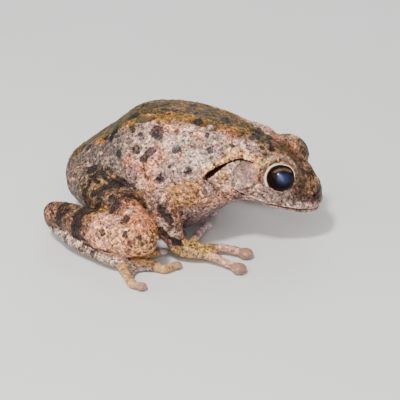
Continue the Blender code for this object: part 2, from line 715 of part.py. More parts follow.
def settle(parts):
    """Writes the parts in metres, each about its own root, under one empty centred on the base."""
    corners = [Vector(c) for thing, _, _ in parts for c in thing.bound_box]
    low = Vector([min(c[i] for c in corners) for i in range(3)])
    high = Vector([max(c[i] for c in corners) for i in range(3)])
    stand = bpy.data.objects.new("frog", None)
    stand.location = Vector((-(low.x + high.x) / 2, -(low.y + high.y) / 2, -low.z)) * MM
    bpy.context.scene.collection.objects.link(stand)
    for thing, root, finish in parts:
        thing.data.transform(Matrix.Scale(MM, 4) @ Matrix.Translation(-Vector(root)))
        thing.location = Vector(root) * MM
        thing.parent = stand
        thing.data.materials.clear()
        thing.data.materials.append(finish)
        thing.data.shade_smooth()


def main():
    """Builds the frog."""
    for thing in list(bpy.data.objects):
        bpy.data.objects.remove(thing)
    back = material("skin_back", SKIN_GREY, 0.55)
    face = material("skin_head", SKIN_OCHRE, 0.5)
    leg = material("skin_leg", SKIN_PINK, 0.5)
    digits = material("skin_digits", PAD_PINK, 0.45)
    eye_finish = material("eye", EYE_DARK, 0.08)
    torso, head = split_body(whole_body())
    cut(torso, floor_block())
    neck = (NECK_CUT_X, 0, NECK_CUT_Z)
    parts = [(torso, neck, back), (head, neck, face)]
    for label, side in SIDES.items():
        x, y, z = EYE_CENTRE
        eye = ball(f"eye_{label}", (x, y * side, z), (EYE_RADIUS,) * 3, spokes=20, rings=12)
        parts.append((eye, (x, y * side, z), eye_finish))
        made = limbs(label, side, torso, head)
        for name, rows, finish in (
            ("thigh", THIGH, leg),
            ("shank", SHANK, leg),
            ("foot", TARSUS, digits),
            ("upper_arm", UPPER_ARM, face),
            ("forearm", FOREARM, face),
            ("hand", PALM, digits),
        ):
            root_x, root_y, root_z = rows[0][:3]
            parts.append((made[name], (root_x, root_y * side, root_z), finish))
    settle(parts)


main()
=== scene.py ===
"""Dresses a life-size spot-legged tree frog at rest: its living skin, its eyes and a plain studio.

Shapes are grown in millimetres in the frog's own space: +X to the snout, +Y to its left, +Z up,
with the floor at zero. The tables describe the right side, where y is negative. One skin stands
for all the flesh of the frame, and the two eyes stay apart from it.
"""

import logging
import math
from dataclasses import dataclass, field
from enum import Enum
from typing import Callable, Sequence

import bmesh
import bpy
import numpy as np
from mathutils import Matrix, Vector


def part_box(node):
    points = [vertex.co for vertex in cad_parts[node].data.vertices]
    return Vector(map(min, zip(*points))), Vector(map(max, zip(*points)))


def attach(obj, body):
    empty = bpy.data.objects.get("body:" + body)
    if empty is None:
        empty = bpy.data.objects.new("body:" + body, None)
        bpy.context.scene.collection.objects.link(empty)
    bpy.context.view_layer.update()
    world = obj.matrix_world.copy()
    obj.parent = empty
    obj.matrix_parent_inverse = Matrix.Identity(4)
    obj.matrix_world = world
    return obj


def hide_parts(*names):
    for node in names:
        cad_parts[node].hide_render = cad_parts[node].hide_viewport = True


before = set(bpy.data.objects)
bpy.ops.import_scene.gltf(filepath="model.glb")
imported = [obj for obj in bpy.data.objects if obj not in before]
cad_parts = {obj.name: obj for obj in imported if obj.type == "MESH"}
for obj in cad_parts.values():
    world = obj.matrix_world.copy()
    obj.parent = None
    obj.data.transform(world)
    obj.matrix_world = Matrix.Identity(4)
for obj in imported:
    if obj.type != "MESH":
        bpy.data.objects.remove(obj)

LOG = logging.getLogger("tree_frog")
MM = 0.001

FAR = 9.0  # what a reading says where a point is too far away to be measured
TINY = 1e-9  # the shortest length that is divided by
SCATTER = np.array((127.1, 311.7, 74.7))
MASKS = ("dark", "halo", "rim", "crease_shade", "wet", "mottle")

Array = np.ndarray
Mesh = bpy.types.Mesh
Thing = bpy.types.Object
Socket = bpy.types.NodeSocket
Row = tuple[float, ...]
Rows = tuple[Row, ...]
Span = tuple[float, float]
Tone = tuple[float, float, float]
Owners = dict[str, tuple[Array, Array]]
Layer = Callable[[str, Array], None]
Inputs = dict[str | int, object]


class Side(Enum):
    """The frog's two sides, as the sign that turns the right side's y."""

    RIGHT = 1.0
    LEFT = -1.0

    def of(self, points: Sequence[float] | Array) -> Array:
        """Returns the right side's points as they lie on this side."""
        return np.asarray(points, float) * np.array((1.0, self.value, 1.0))


def smoothed_rows(rows: Rows | Array, count: int) -> Array:
    """Reads a smooth curve through rows at evenly spaced places.

    Args:
        rows: The rows that the curve passes through.
        count: How many rows to read.

    Returns:
        The rows of the curve.
    """
    keys = np.array(rows, float)
    ends = np.vstack([2 * keys[0] - keys[1], keys, 2 * keys[-1] - keys[-2]])
    place = np.linspace(0, len(keys) - 1, count)
    index = np.minimum(place.astype(int), len(keys) - 2)
    t = (place - index)[:, None]
    a, b, c, d = (ends[index + i] for i in range(4))
    return b + 0.5 * t * (c - a + t * (2 * a - 5 * b + 4 * c - d + t * (3 * (b - c) + d - a)))


def ease(value: Array, low: float, high: float) -> Array:
    """Rises smoothly from 0 at low to 1 at high, or falls where low is the greater one.

    Args:
        value: The numbers to read.
        low: Where the result is 0.
        high: Where it is 1.

    Returns:
        Numbers from 0 to 1.
    """
    t = np.clip((value - low) / (high - low), 0, 1)
    return t * t * (3 - 2 * t)


def hump(value: Array, centre: float, width: float) -> Array:
    """Peaks at 1 over a centre and falls off softly.

    Args:
        value: The numbers to read.
        centre: Where the peak is.
        width: How far it reaches to each side.

    Returns:
        Numbers from 0 to 1.
    """
    return np.exp(-(((value - centre) / width) ** 2))


def unit(direction: Sequence[float] | Array) -> Array:
    """Returns a direction, or each row of directions, at length 1."""
    made = np.asarray(direction, float)
    return made / np.linalg.norm(made, axis=-1, keepdims=True)


def gap(points: Array, place: Array) -> Array:
    """Returns how far points are from a place."""
    return np.linalg.norm(points - place, axis=1)


def near(points: Array, line: Array, reach: float) -> Array:
    """Returns the numbers of the points in the box round a line, grown by a reach."""
    low, high = line.min(axis=0) - reach, line.max(axis=0) + reach
    return np.flatnonzero(np.all((points > low) & (points < high), axis=1))


def about(out: Array, axis: Array) -> tuple[Array, Array, Array]:
    """Splits offsets from the middle of a round form along and across its axis.

    Args:
        out: The offsets.
        axis: The axis, at length 1.

    Returns:
        How far each offset reaches along the axis, its part across the axis, and that part's
        length.
    """
    depth = out @ axis
    flat = out - depth[:, None] * axis
    return depth, flat, np.maximum(np.linalg.norm(flat, axis=1), TINY)


def circle(spokes: int) -> tuple[Array, Array]:
    """Returns the cosines and sines of evenly spaced turns."""
    turn = np.linspace(0, 2 * math.pi, spokes, endpoint=False)
    return np.cos(turn), np.sin(turn)


def placed(name: str, data: bpy.types.ID) -> Thing:
    """Makes an object of its data and links it to the scene.

    Args:
        name: What the object is called.
        data: Its mesh, lamp or camera.

    Returns:
        The object.
    """
    made = bpy.data.objects.new(name, data)
    bpy.context.scene.collection.objects.link(made)
    return made


@dataclass(frozen=True)
class Grain:
    """Seeded noise over space, for forms and markings that are the same in every run."""

    size: float
    seed: float = 0.0
    turns: Row = (1.7, 4.1, 8.3)

    def _chance(self, corner: Array, turn: float) -> Array:
        """Returns one steady random number from 0 to 1 for each whole-numbered corner."""
        wave = corner @ SCATTER + self.seed * 19.19 + turn
        return np.modf(np.abs(np.sin(wave) * 43758.5453))[0]

    def soft(self, points: Array) -> Array:
        """Reads smooth noise.

        Args:
            points: Where to read it.

        Returns:
            Numbers from 0 to 1.
        """
        place = points / self.size
        corner = np.floor(place)
        t = place - corner
        t = t * t * (3 - 2 * t)
        total = np.zeros(len(points))
        for step in np.ndindex(2, 2, 2):
            share = np.prod(np.where(np.array(step) == 1, t, 1 - t), axis=1)
            total += share * self._chance(corner + step, 0.0)
        return total

    def cells(self, points: Array) -> Array:
        """Reads how far each point is from the nearest of a set of scattered centres.

        Args:
            points: Where to read it.

        Returns:
            Distances as shares of the size.
        """
        place = points / self.size
        corner = np.floor(place)
        nearest = np.full(len(points), FAR)
        for step in np.ndindex(3, 3, 3):
            cell = corner + step - 1
            centre = cell + np.stack([self._chance(cell, turn) for turn in self.turns], axis=1)
            nearest = np.minimum(nearest, np.linalg.norm(place - centre, axis=1))
        return nearest


@dataclass
class Shape:
    """A closed surface as points and faces."""

    points: Array
    faces: list[tuple[int, ...]]


def loft(rings: Array, start: Array, end: Array) -> Shape:
    """Closes rings into a solid between two end points.

    Args:
        rings: Rings of points, as rings by spokes by 3.
        start: The point that closes the first ring.
        end: The point that closes the last ring.

    Returns:
        The closed surface.
    """
    count, spokes, _ = rings.shape
    first, last, tail = count * spokes, count * spokes + 1, (count - 1) * spokes
    faces: list[tuple[int, ...]] = []
    for j in range(spokes):
        k = (j + 1) % spokes
        for low in range(0, tail, spokes):
            high = low + spokes
            faces.append((low + j, low + k, high + k, high + j))
        faces += [(first, k, j), (last, tail + j, tail + k)]
    return Shape(np.vstack([rings.reshape(-1, 3), start, end]), faces)


def ball(
    centre: Array, radii: Row, heading: float = 0.0, spokes: int = 40, rings: int = 24
) -> Shape:
    """Makes an ellipsoid.

    Args:
        centre: Its middle.
        radii: Its half length, half width and half height.
        heading: Its turn about the vertical, in radians.
        spokes: How many points go round it.
        rings: How many rings it has from pole to pole.

    Returns:
        The closed surface.
    """
    lift = np.linspace(0, math.pi, rings + 2)[1:-1]
    cosine, sine = circle(spokes)
    x, y = (np.sin(lift)[:, None] * turn for turn in (cosine, sine))
    z = np.repeat(np.cos(lift)[:, None], spokes, 1)
    spin = np.array(Matrix.Rotation(heading, 3, "Z"))

    def moved(points: Array) -> Array:
        """Returns points of the unit ball where they belong."""
        return (points * np.array(radii)) @ spin.T + centre

    pole = np.array((0, 0, 1.0))
    return loft(moved(np.stack([x, y, z], axis=2)), moved(pole), moved(-pole))


def joined(name: str, shapes: Sequence[Shape]) -> Thing:
    """Makes one mesh object of several surfaces.

    Args:
        name: The object's name.
        shapes: The surfaces.

    Returns:
        The object, linked to the scene.
    """
    points, faces, first = [], [], 0
    for shape in shapes:
        points.append(shape.points)
        faces += [tuple(i + first for i in face) for face in shape.faces]
        first += len(shape.points)
    mesh = bpy.data.meshes.new(name)
    mesh.from_pydata(np.vstack(points).tolist(), [], faces)
    work = bmesh.new()
    work.from_mesh(mesh)
    bmesh.ops.recalc_face_normals(work, faces=work.faces)
    work.to_mesh(mesh)
    work.free()
    return placed(name, mesh)


def bake(thing: Thing) -> None:
    """Applies the object's modifiers to its mesh.

    Args:
        thing: The object.
    """
    bpy.context.view_layer.update()
    graph = bpy.context.evaluated_depsgraph_get()
    mesh = bpy.data.meshes.new_from_object(thing.evaluated_get(graph))
    old = thing.data
    thing.modifiers.clear()
    thing.data = mesh
    bpy.data.meshes.remove(old)


def read_points(mesh: Mesh) -> Array:
    """Returns the mesh's points.

    Args:
        mesh: The mesh to read.

    Returns:
        Rows of x, y and z.
    """
    points = np.zeros(len(mesh.vertices) * 3)
    mesh.vertices.foreach_get("co", points)
    return points.reshape(-1, 3)


def read_normals(mesh: Mesh) -> Array:
    """Returns the normals at the mesh's points.

    Args:
        mesh: The mesh to read.

    Returns:
        Rows of x, y and z, each at length 1.
    """
    normals = np.zeros(len(mesh.vertices) * 3)
    mesh.vertex_normals.foreach_get("vector", normals)
    return normals.reshape(-1, 3)


def write_points(mesh: Mesh, points: Array) -> None:
    """Moves the mesh's points."""
    mesh.vertices.foreach_set("co", points.astype(np.float32).ravel())
    mesh.update()


def write_masks(mesh: Mesh, masks: dict[str, Array]) -> None:
    """Stores masks as numbers on the mesh's points.

    Args:
        mesh: The mesh to write to.
        masks: The numbers of each mask, by its name.
    """
    for name, mask in masks.items():
        layer = mesh.attributes.new(name, "FLOAT", "POINT")
        layer.data.foreach_set("value", mask.astype(np.float32))


def relax(mesh: Mesh, pull: Array, rounds: int) -> None:
    """Smooths the mesh where the pull is above 0.

    Args:
        mesh: The mesh to smooth.
        pull: How far each point moves to its neighbours in a round, from 0 to 1.
        rounds: How many rounds it takes.
    """
    points = read_points(mesh)
    edges = np.zeros(len(mesh.edges) * 2, int)
    mesh.edges.foreach_get("vertices", edges)
    a, b = edges.reshape(-1, 2).T
    pulled = pull > 0.01
    near = pulled[a] | pulled[b]
    a, b = a[near], b[near]
    count = np.bincount(a, minlength=len(points)) + np.bincount(b, minlength=len(points))
    moving = (count > 0) & pulled
    share = np.maximum(count, 1)
    for _ in range(rounds):
        for axis in range(3):
            line = points[:, axis]
            total = np.bincount(a, line[b], len(points)) + np.bincount(b, line[a], len(points))
            points[:, axis] = np.where(moving, line + pull * (total / share - line), line)
    write_points(mesh, points)


@dataclass(frozen=True)
class Trunk:
    """The trunk and head as one row of upright sections from rump to snout.

    Each section is x, half width, height of its widest line, top, bottom, and its roundness above
    and below that line. Ahead of the corner of the mouth the widest line is the line of the mouth.
    """

    sections: Rows = (
        (-29.6, 0.0, 9.4, 9.4, 9.4, 2.0, 2.0), (-29.0, 3.2, 9.4, 12.6, 6.2, 2.0, 2.0),
        (-27.2, 6.2, 9.2, 15.2, 3.6, 2.1, 2.1), (-23.5, 9.0, 9.2, 18.2, 1.6, 2.1, 2.2),
        (-18.5, 11.6, 9.8, 22.0, 0.2, 2.1, 2.3), (-12.0, 13.9, 11.2, 27.1, -0.4, 2.1, 2.4),
        (-5.0, 15.4, 12.0, 28.9, -0.4, 2.1, 2.4), (2.0, 14.9, 13.0, 28.8, 1.4, 2.1, 2.3),
        (8.0, 13.0, 14.4, 27.5, 5.7, 2.2, 2.2), (12.5, 11.4, 15.3, 25.9, 8.8, 2.3, 2.1),
        (16.5, 10.6, 14.9, 24.3, 10.2, 2.4, 2.1), (20.0, 10.0, 13.2, 22.8, 9.3, 2.5, 2.1),
        (24.0, 8.5, 11.1, 20.4, 8.1, 2.5, 2.1), (27.5, 6.3, 9.4, 17.3, 7.5, 2.4, 2.1),
        (30.0, 4.1, 8.5, 14.2, 7.3, 2.3, 2.1), (31.3, 2.2, 8.3, 11.9, 7.4, 2.1, 2.0),
        (31.8, 0.0, 8.6, 8.6, 8.6, 2.0, 2.0),
    )
    rings: int = 210
    spokes: int = 170
    orbit_centre: Row = (22.8, -6.2, 18.2)
    orbit_radius: float = 4.3

    def shapes(self) -> list[Shape]:
        """Returns the lofted body and the two orbits that stand out of it.

        Returns:
            The body first, then the orbits.
        """
        line = smoothed_rows(self.sections, self.rings + 2)
        x, wide, widest, top, bottom, above, below = line[1:-1].T
        cosine, sine = circle(self.spokes)
        upper = sine[None, :] >= 0
        power = np.where(upper, 2 / above[:, None], 2 / below[:, None])
        reach = np.where(upper, (top - widest)[:, None], (widest - bottom)[:, None])
        y = wide[:, None] * np.sign(cosine) * np.abs(cosine) ** power
        z = widest[:, None] + reach * np.sign(sine) * np.abs(sine) ** power
        rings = np.stack([np.repeat(x[:, None], self.spokes, 1), y, z], axis=2)
        ends = [np.array((row[0], 0.0, row[2])) for row in (line[0], line[-1])]
        radii = (self.orbit_radius,) * 3
        orbits = [ball(side.of(self.orbit_centre), radii, 0.0, 64, 48) for side in Side]
        return [loft(rings, *ends), *orbits]

    def across(self, points: Array) -> tuple[Array, Array]:
        """Finds where points lie in their section.

        Args:
            points: The points to place.

        Returns:
            The height over the widest line, and the angle round the section from that line.
        """
        line = smoothed_rows(self.sections, 400)
        read = [np.interp(points[:, 0], line[:, 0], line[:, i]) for i in range(5)]
        wide, widest, top = np.maximum(read[1], 0.5), read[2], read[3]
        height = points[:, 2] - widest
        angle = np.arctan2(height / np.maximum(top - widest, 0.5), np.abs(points[:, 1]) / wide)
        return height, angle


@dataclass(frozen=True)
class LimbLength:
    """One length of a limb, as rows of x, y, z, half width and half height."""

    name: str
    rows: Rows
    rings: int = 48
    spokes: int = 48

    def line(self, side: Side, count: int) -> Array:
        """Returns evenly spaced rows of the length on one side.

        Args:
            side: The side the limb is on.
            count: How many rows.

        Returns:
            Rows of x, y, z, half width and half height.
        """
        rows = smoothed_rows(self.rows, count)
        rows[:, :3] = side.of(rows[:, :3])
        return rows

    def shape(self, side: Side) -> Shape:
        """Makes the length with rounded ends.

        Args:
            side: The side it belongs to.

        Returns:
            The closed surface.
        """
        line = self.line(side, self.rings)
        centre, wide, high = line[:, :3], line[:, 3], line[:, 4]
        tangent = unit(np.gradient(centre, axis=0))
        level = unit(np.cross(tangent, (0.0, 0.0, 1.0)))
        rise = np.cross(level, tangent)
        cosine, sine = (turn[:, None] for turn in circle(self.spokes))

        def ring(i: int, shift: float, scale: float) -> Array:
            """Returns one ring, shifted along the length and scaled."""
            across = cosine * level[i] * wide[i] + sine * rise[i] * high[i]
            return centre[i] + tangent[i] * shift + scale * across

        bends = np.linspace(math.pi / 2, 0, 8)[1:-1]
        rings = [ring(0, -wide[0] * math.sin(bend), math.cos(bend)) for bend in bends]
        rings += [ring(i, 0.0, 1.0) for i in range(self.rings)]
        rings += [ring(-1, wide[-1] * math.sin(bend), math.cos(bend)) for bend in reversed(bends)]
        start, end = centre[0] - tangent[0] * wide[0], centre[-1] + tangent[-1] * wide[-1]
        return loft(np.array(rings), start, end)

    def place(self, points: Array, side: Side) -> tuple[Array, Array]:
        """Finds how points lie along the length.

        Args:
            points: The points to place.
            side: The side whose length is read.

        Returns:
            How far along the length each point is, from 0 to 1, and how far it is from the
            middle, as a share of the length's thickness there.
        """
        line = self.line(side, 40)
        close = near(points, line[:, :3], 1.6 * line[:, 3:].max())
        along, ratio = np.zeros(len(points)), np.full(len(points), FAR)
        if len(close):
            gaps = np.linalg.norm(points[close, None, :] - line[None, :, :3], axis=2)
            index = gaps.argmin(axis=1)
            along[close] = index / (len(line) - 1)
            ratio[close] = gaps.min(axis=1) / line[index, 3:].mean(axis=1)
        return along, ratio


@dataclass(frozen=True)
class Digit:
    """A finger or toe, as rows of x, y and z along its bones to the middle of its pad."""

    name: str
    rows: Rows
    radius: float
    pad: Row
    knuckle: float = 1.04

    def length(self) -> LimbLength:
        """Returns the digit as a tapering limb length.

        Returns:
            The length, a little thicker at its root than at its tip.
        """
        shares = np.linspace(0, 1, len(self.rows))
        rows = tuple(
            (*row, self.radius * (1.15 - 0.35 * share), self.radius * (1.12 - 0.37 * share))
            for row, share in zip(self.rows, shares)
        )
        return LimbLength(self.name, rows, rings=32, spokes=28)

    def shapes(self, side: Side) -> list[Shape]:
        """Makes the bones, the knuckle and the grooved round pad.

        Args:
            side: The side it belongs to.

        Returns:
            The closed surfaces.
        """
        line = side.of(self.rows)
        step = line[-1] - line[-2]
        heading = math.atan2(step[1], step[0])
        long, wide, high = self.pad
        knuckles = [ball(knuckle, (self.radius * self.knuckle,) * 3) for knuckle in line[1:-1]]
        back = -0.1 * long
        top = np.array((back * math.cos(heading), back * math.sin(heading), 0.34 * high))
        pad = ball(line[-1], self.pad, heading)
        crown = ball(line[-1] + top, (0.74 * long, 0.7 * wide, 0.72 * high), heading)
        return [self.length().shape(side), *knuckles, pad, crown]


@dataclass(frozen=True)
class Web:
    """The thin skin between two digits, with a hollow free edge."""

    first: Digit
    second: Digit
    reach: float
    dip: float = 0.45
    thickness: float = 0.62
    height: float = 0.75
    steps: int = 60
    columns: int = 17
    cells: int = 14

    def shape(self, side: Side) -> Shape:
        """Makes the web.

        Args:
            side: The side it belongs to.

        Returns:
            The closed surface.
        """
        one, two = (smoothed_rows(digit.rows, self.steps) for digit in (self.first, self.second))
        steps = np.arange(self.steps)
        columns = []
        for share in np.linspace(0, 1, self.columns):
            hollow = 1 - self.dip * 4 * share * (1 - share)
            along = np.linspace(0, self.reach * (self.steps - 1) * hollow, self.cells)
            near, far = (
                np.stack([np.interp(along, steps, rows[:, i]) for i in range(3)], axis=1)
                for rows in (one, two)
            )
            columns.append(near * (1 - share) + far * share)
        grid = side.of(np.array(columns))
        low, high = grid.copy(), grid.copy()
        low[:, :, 2] = self.height - self.thickness / 2
        high[:, :, 2] = self.height + self.thickness / 2
        size = self.columns * self.cells
        numbers = np.arange(size).reshape(self.columns, self.cells)
        corners = [numbers[:-1, :-1], numbers[1:, :-1], numbers[1:, 1:], numbers[:-1, 1:]]
        faces: list[tuple[int, ...]] = []
        for a, b, c, d in zip(*(corner.ravel().tolist() for corner in corners)):
            faces += [(a, b, c, d), (d + size, c + size, b + size, a + size)]
        edges = (numbers[0], numbers[1:, -1], numbers[-1, -2::-1], numbers[-2:0:-1, 0])
        rim = np.concatenate(edges).tolist()
        faces += [(a, b, b + size, a + size) for a, b in zip(rim, rim[1:] + rim[:1])]
        return Shape(np.vstack([low.reshape(-1, 3), high.reshape(-1, 3)]), faces)


@dataclass(frozen=True)
class Limbs:
    """The folded arm and leg of one side, with the digits and their webs."""

    lengths: tuple[LimbLength, ...] = (
        LimbLength("thigh", (
            (-23.0, -6.4, 10.4, 4.4, 5.0), (-17.5, -11.4, 10.8, 4.9, 5.2),
            (-11.0, -17.1, 10.8, 4.2, 4.5), (-6.6, -21.4, 10.5, 3.3, 3.6),
            (-3.6, -24.3, 9.9, 3.0, 3.3),
        )),
        LimbLength("shank", (
            (-3.2, -25.6, 7.6, 3.1, 3.3), (-6.2, -25.0, 7.4, 3.8, 4.0),
            (-11.2, -23.4, 7.1, 4.5, 4.5), (-17.0, -21.0, 7.1, 3.9, 4.0),
            (-22.8, -18.7, 7.3, 3.1, 3.3), (-26.9, -17.4, 6.9, 2.6, 2.9),
        )),
        LimbLength("tarsus", (
            (-27.7, -16.3, 4.5, 2.1, 2.1), (-24.4, -19.0, 3.7, 1.8, 1.6),
            (-20.2, -22.0, 3.1, 1.8, 1.5), (-14.5, -24.4, 2.7, 1.9, 1.5),
            (-9.6, -25.7, 2.1, 2.2, 1.3), (-7.0, -25.4, 1.5, 1.9, 1.2),
        )),
        LimbLength("upper_arm", (
            (10.0, -9.0, 13.6, 2.9, 3.2), (6.2, -13.4, 14.6, 2.6, 2.8),
            (2.0, -17.4, 15.4, 2.3, 2.4), (-0.9, -20.0, 15.9, 2.1, 2.1),
        )),
        LimbLength("forearm", (
            (-0.9, -20.3, 15.4, 2.1, 2.1), (0.0, -19.5, 12.2, 3.0, 2.9),
            (0.9, -18.7, 8.1, 3.1, 3.0), (1.9, -18.2, 4.8, 2.4, 2.2),
        )),
        LimbLength("palm", (
            (2.6, -18.3, 3.2, 2.2, 1.8), (5.4, -17.7, 2.6, 2.8, 1.7), (8.7, -16.8, 2.0, 2.8, 1.3),
        )),
    )
    finger_rows: tuple[Rows, ...] = (
        ((3.4, -16.3, 2.6), (2.0, -12.8, 2.4), (1.2, -10.6, 1.8), (0.6, -8.8, 0.95)),
        ((5.0, -15.7, 2.5), (5.2, -11.6, 2.5), (5.4, -7.2, 2.0), (5.3, -3.3, 0.95)),
        ((8.0, -15.6, 2.0), (11.6, -14.2, 2.0), (14.6, -14.0, 1.6), (17.3, -14.0, 1.15)),
        ((8.0, -17.8, 1.9), (11.4, -18.9, 1.9), (14.5, -19.9, 1.5), (17.4, -20.8, 1.15)),
    )
    toe_rows: tuple[Rows, ...] = (
        ((-9.0, -24.4, 1.6), (-8.6, -22.0, 1.5), (-8.4, -19.6, 1.0)),
        ((-8.0, -24.6, 1.6), (-6.6, -21.6, 1.5), (-5.4, -18.4, 0.9)),
        ((-7.4, -25.0, 1.6), (-4.6, -22.6, 1.6), (-2.6, -20.2, 1.5), (-1.0, -18.0, 1.2)),
        ((-7.2, -25.4, 1.6), (-2.4, -24.2, 1.5), (1.4, -25.2, 1.2), (3.5, -22.6, 0.9)),
        ((-8.4, -26.4, 1.6), (-5.8, -30.0, 1.4), (-3.6, -32.8, 1.1), (-1.4, -33.2, 0.9)),
    )
    finger_sizes: Row = (0.82, 0.82, 1.0, 1.0)
    finger_radius: float = 0.98
    finger_pad: Row = (1.8, 1.75, 1.2)
    toe_radius: float = 0.9
    toe_pad: Row = (1.4, 1.3, 0.8)
    web_reaches: Span = (0.3, 0.62)
    joint_balls: Rows = (
        (-3.0, -24.9, 8.8, 3.2), (-27.2, -16.8, 5.6, 2.4), (-0.9, -20.1, 15.6, 2.3),
    )

    def fingers(self) -> list[Digit]:
        """Returns the four fingers, inner first.

        Returns:
            The fingers.
        """
        made = []
        for i, (rows, size) in enumerate(zip(self.finger_rows, self.finger_sizes)):
            pad = tuple(size * radius for radius in self.finger_pad)
            made.append(Digit(f"finger_{i}", rows, size * self.finger_radius, pad))
        return made

    def toes(self) -> list[Digit]:
        """Returns the five toes, inner first."""
        rows = enumerate(self.toe_rows)
        return [Digit(f"toe_{i}", row, self.toe_radius, self.toe_pad) for i, row in rows]

    def shapes(self, side: Side) -> list[Shape]:
        """Makes all the pieces of one arm and leg.

        Args:
            side: The side they belong to.

        Returns:
            The closed surfaces.
        """
        made = [length.shape(side) for length in self.lengths]
        for digit in self.fingers() + self.toes():
            made += digit.shapes(side)
        for digits, reach in zip((self.fingers(), self.toes()), self.web_reaches):
            made += [Web(*pair, reach).shape(side) for pair in zip(digits, digits[1:])]
        made += [ball(side.of(place), (radius,) * 3) for *place, radius in self.joint_balls]
        return made


class Relief:
    """A form raised out of the skin, or sunk into it, along the skin's normals."""

    def height(self, points: Array, side: Side) -> Array:
        """Returns how far the form on one side raises each point, in millimetres."""
        raise NotImplementedError

    def press(self, mesh: Mesh, side: Side) -> None:
        """Moves the mesh's points by the form's height on one side."""
        points = read_points(mesh)
        write_points(mesh, points + read_normals(mesh) * self.height(points, side)[:, None])


@dataclass(frozen=True)
class Mouth(Relief):
    """The line of the mouth, the full upper lip over it and the jaw set back under it."""

    trunk: Trunk = Trunk()
    line: tuple[tuple[float, float], ...] = (
        (13.7, 0.1), (15.1, -0.7), (17.1, -1.2), (19.8, -0.8), (23.2, -0.4), (26.6, 0.2),
        (28.9, 0.6), (31.8, 0.4),
    )
    corner_x: float = 13.7
    corner_fade: Span = (-0.8, 1.2)
    depth: float = 0.5
    half_width: float = 0.26
    jaw_setback: float = 0.35
    jaw_edge: Span = (-0.1, 0.3)
    jaw_end: Span = (3.0, 1.0)
    lip: float = 0.2
    lip_rise: float = 0.85
    lip_half_width: float = 0.5

    def above(self, points: Array) -> Array:
        """Returns the heights of points over the line of the mouth."""
        line = np.array(self.line)
        return self.trunk.across(points)[0] - np.interp(points[:, 0], line[:, 0], line[:, 1])

    def height(self, points: Array, side: Side) -> Array:
        """Presses in the mouth, which runs round both sides of the snout.

        Args:
            points: The skin's points.
            side: Not used, since both sides are the same.

        Returns:
            How far each point is raised.
        """
        above = self.above(points)
        ahead = ease(points[:, 0] - self.corner_x, *self.corner_fade)
        groove = self.depth * hump(above, 0.0, self.half_width)
        lip = self.lip * hump(above, self.lip_rise, self.lip_half_width)
        jaw = self.jaw_setback * ease(-above, *self.jaw_edge) * ease(-above, *self.jaw_end)
        return ahead * (lip - groove - jaw)


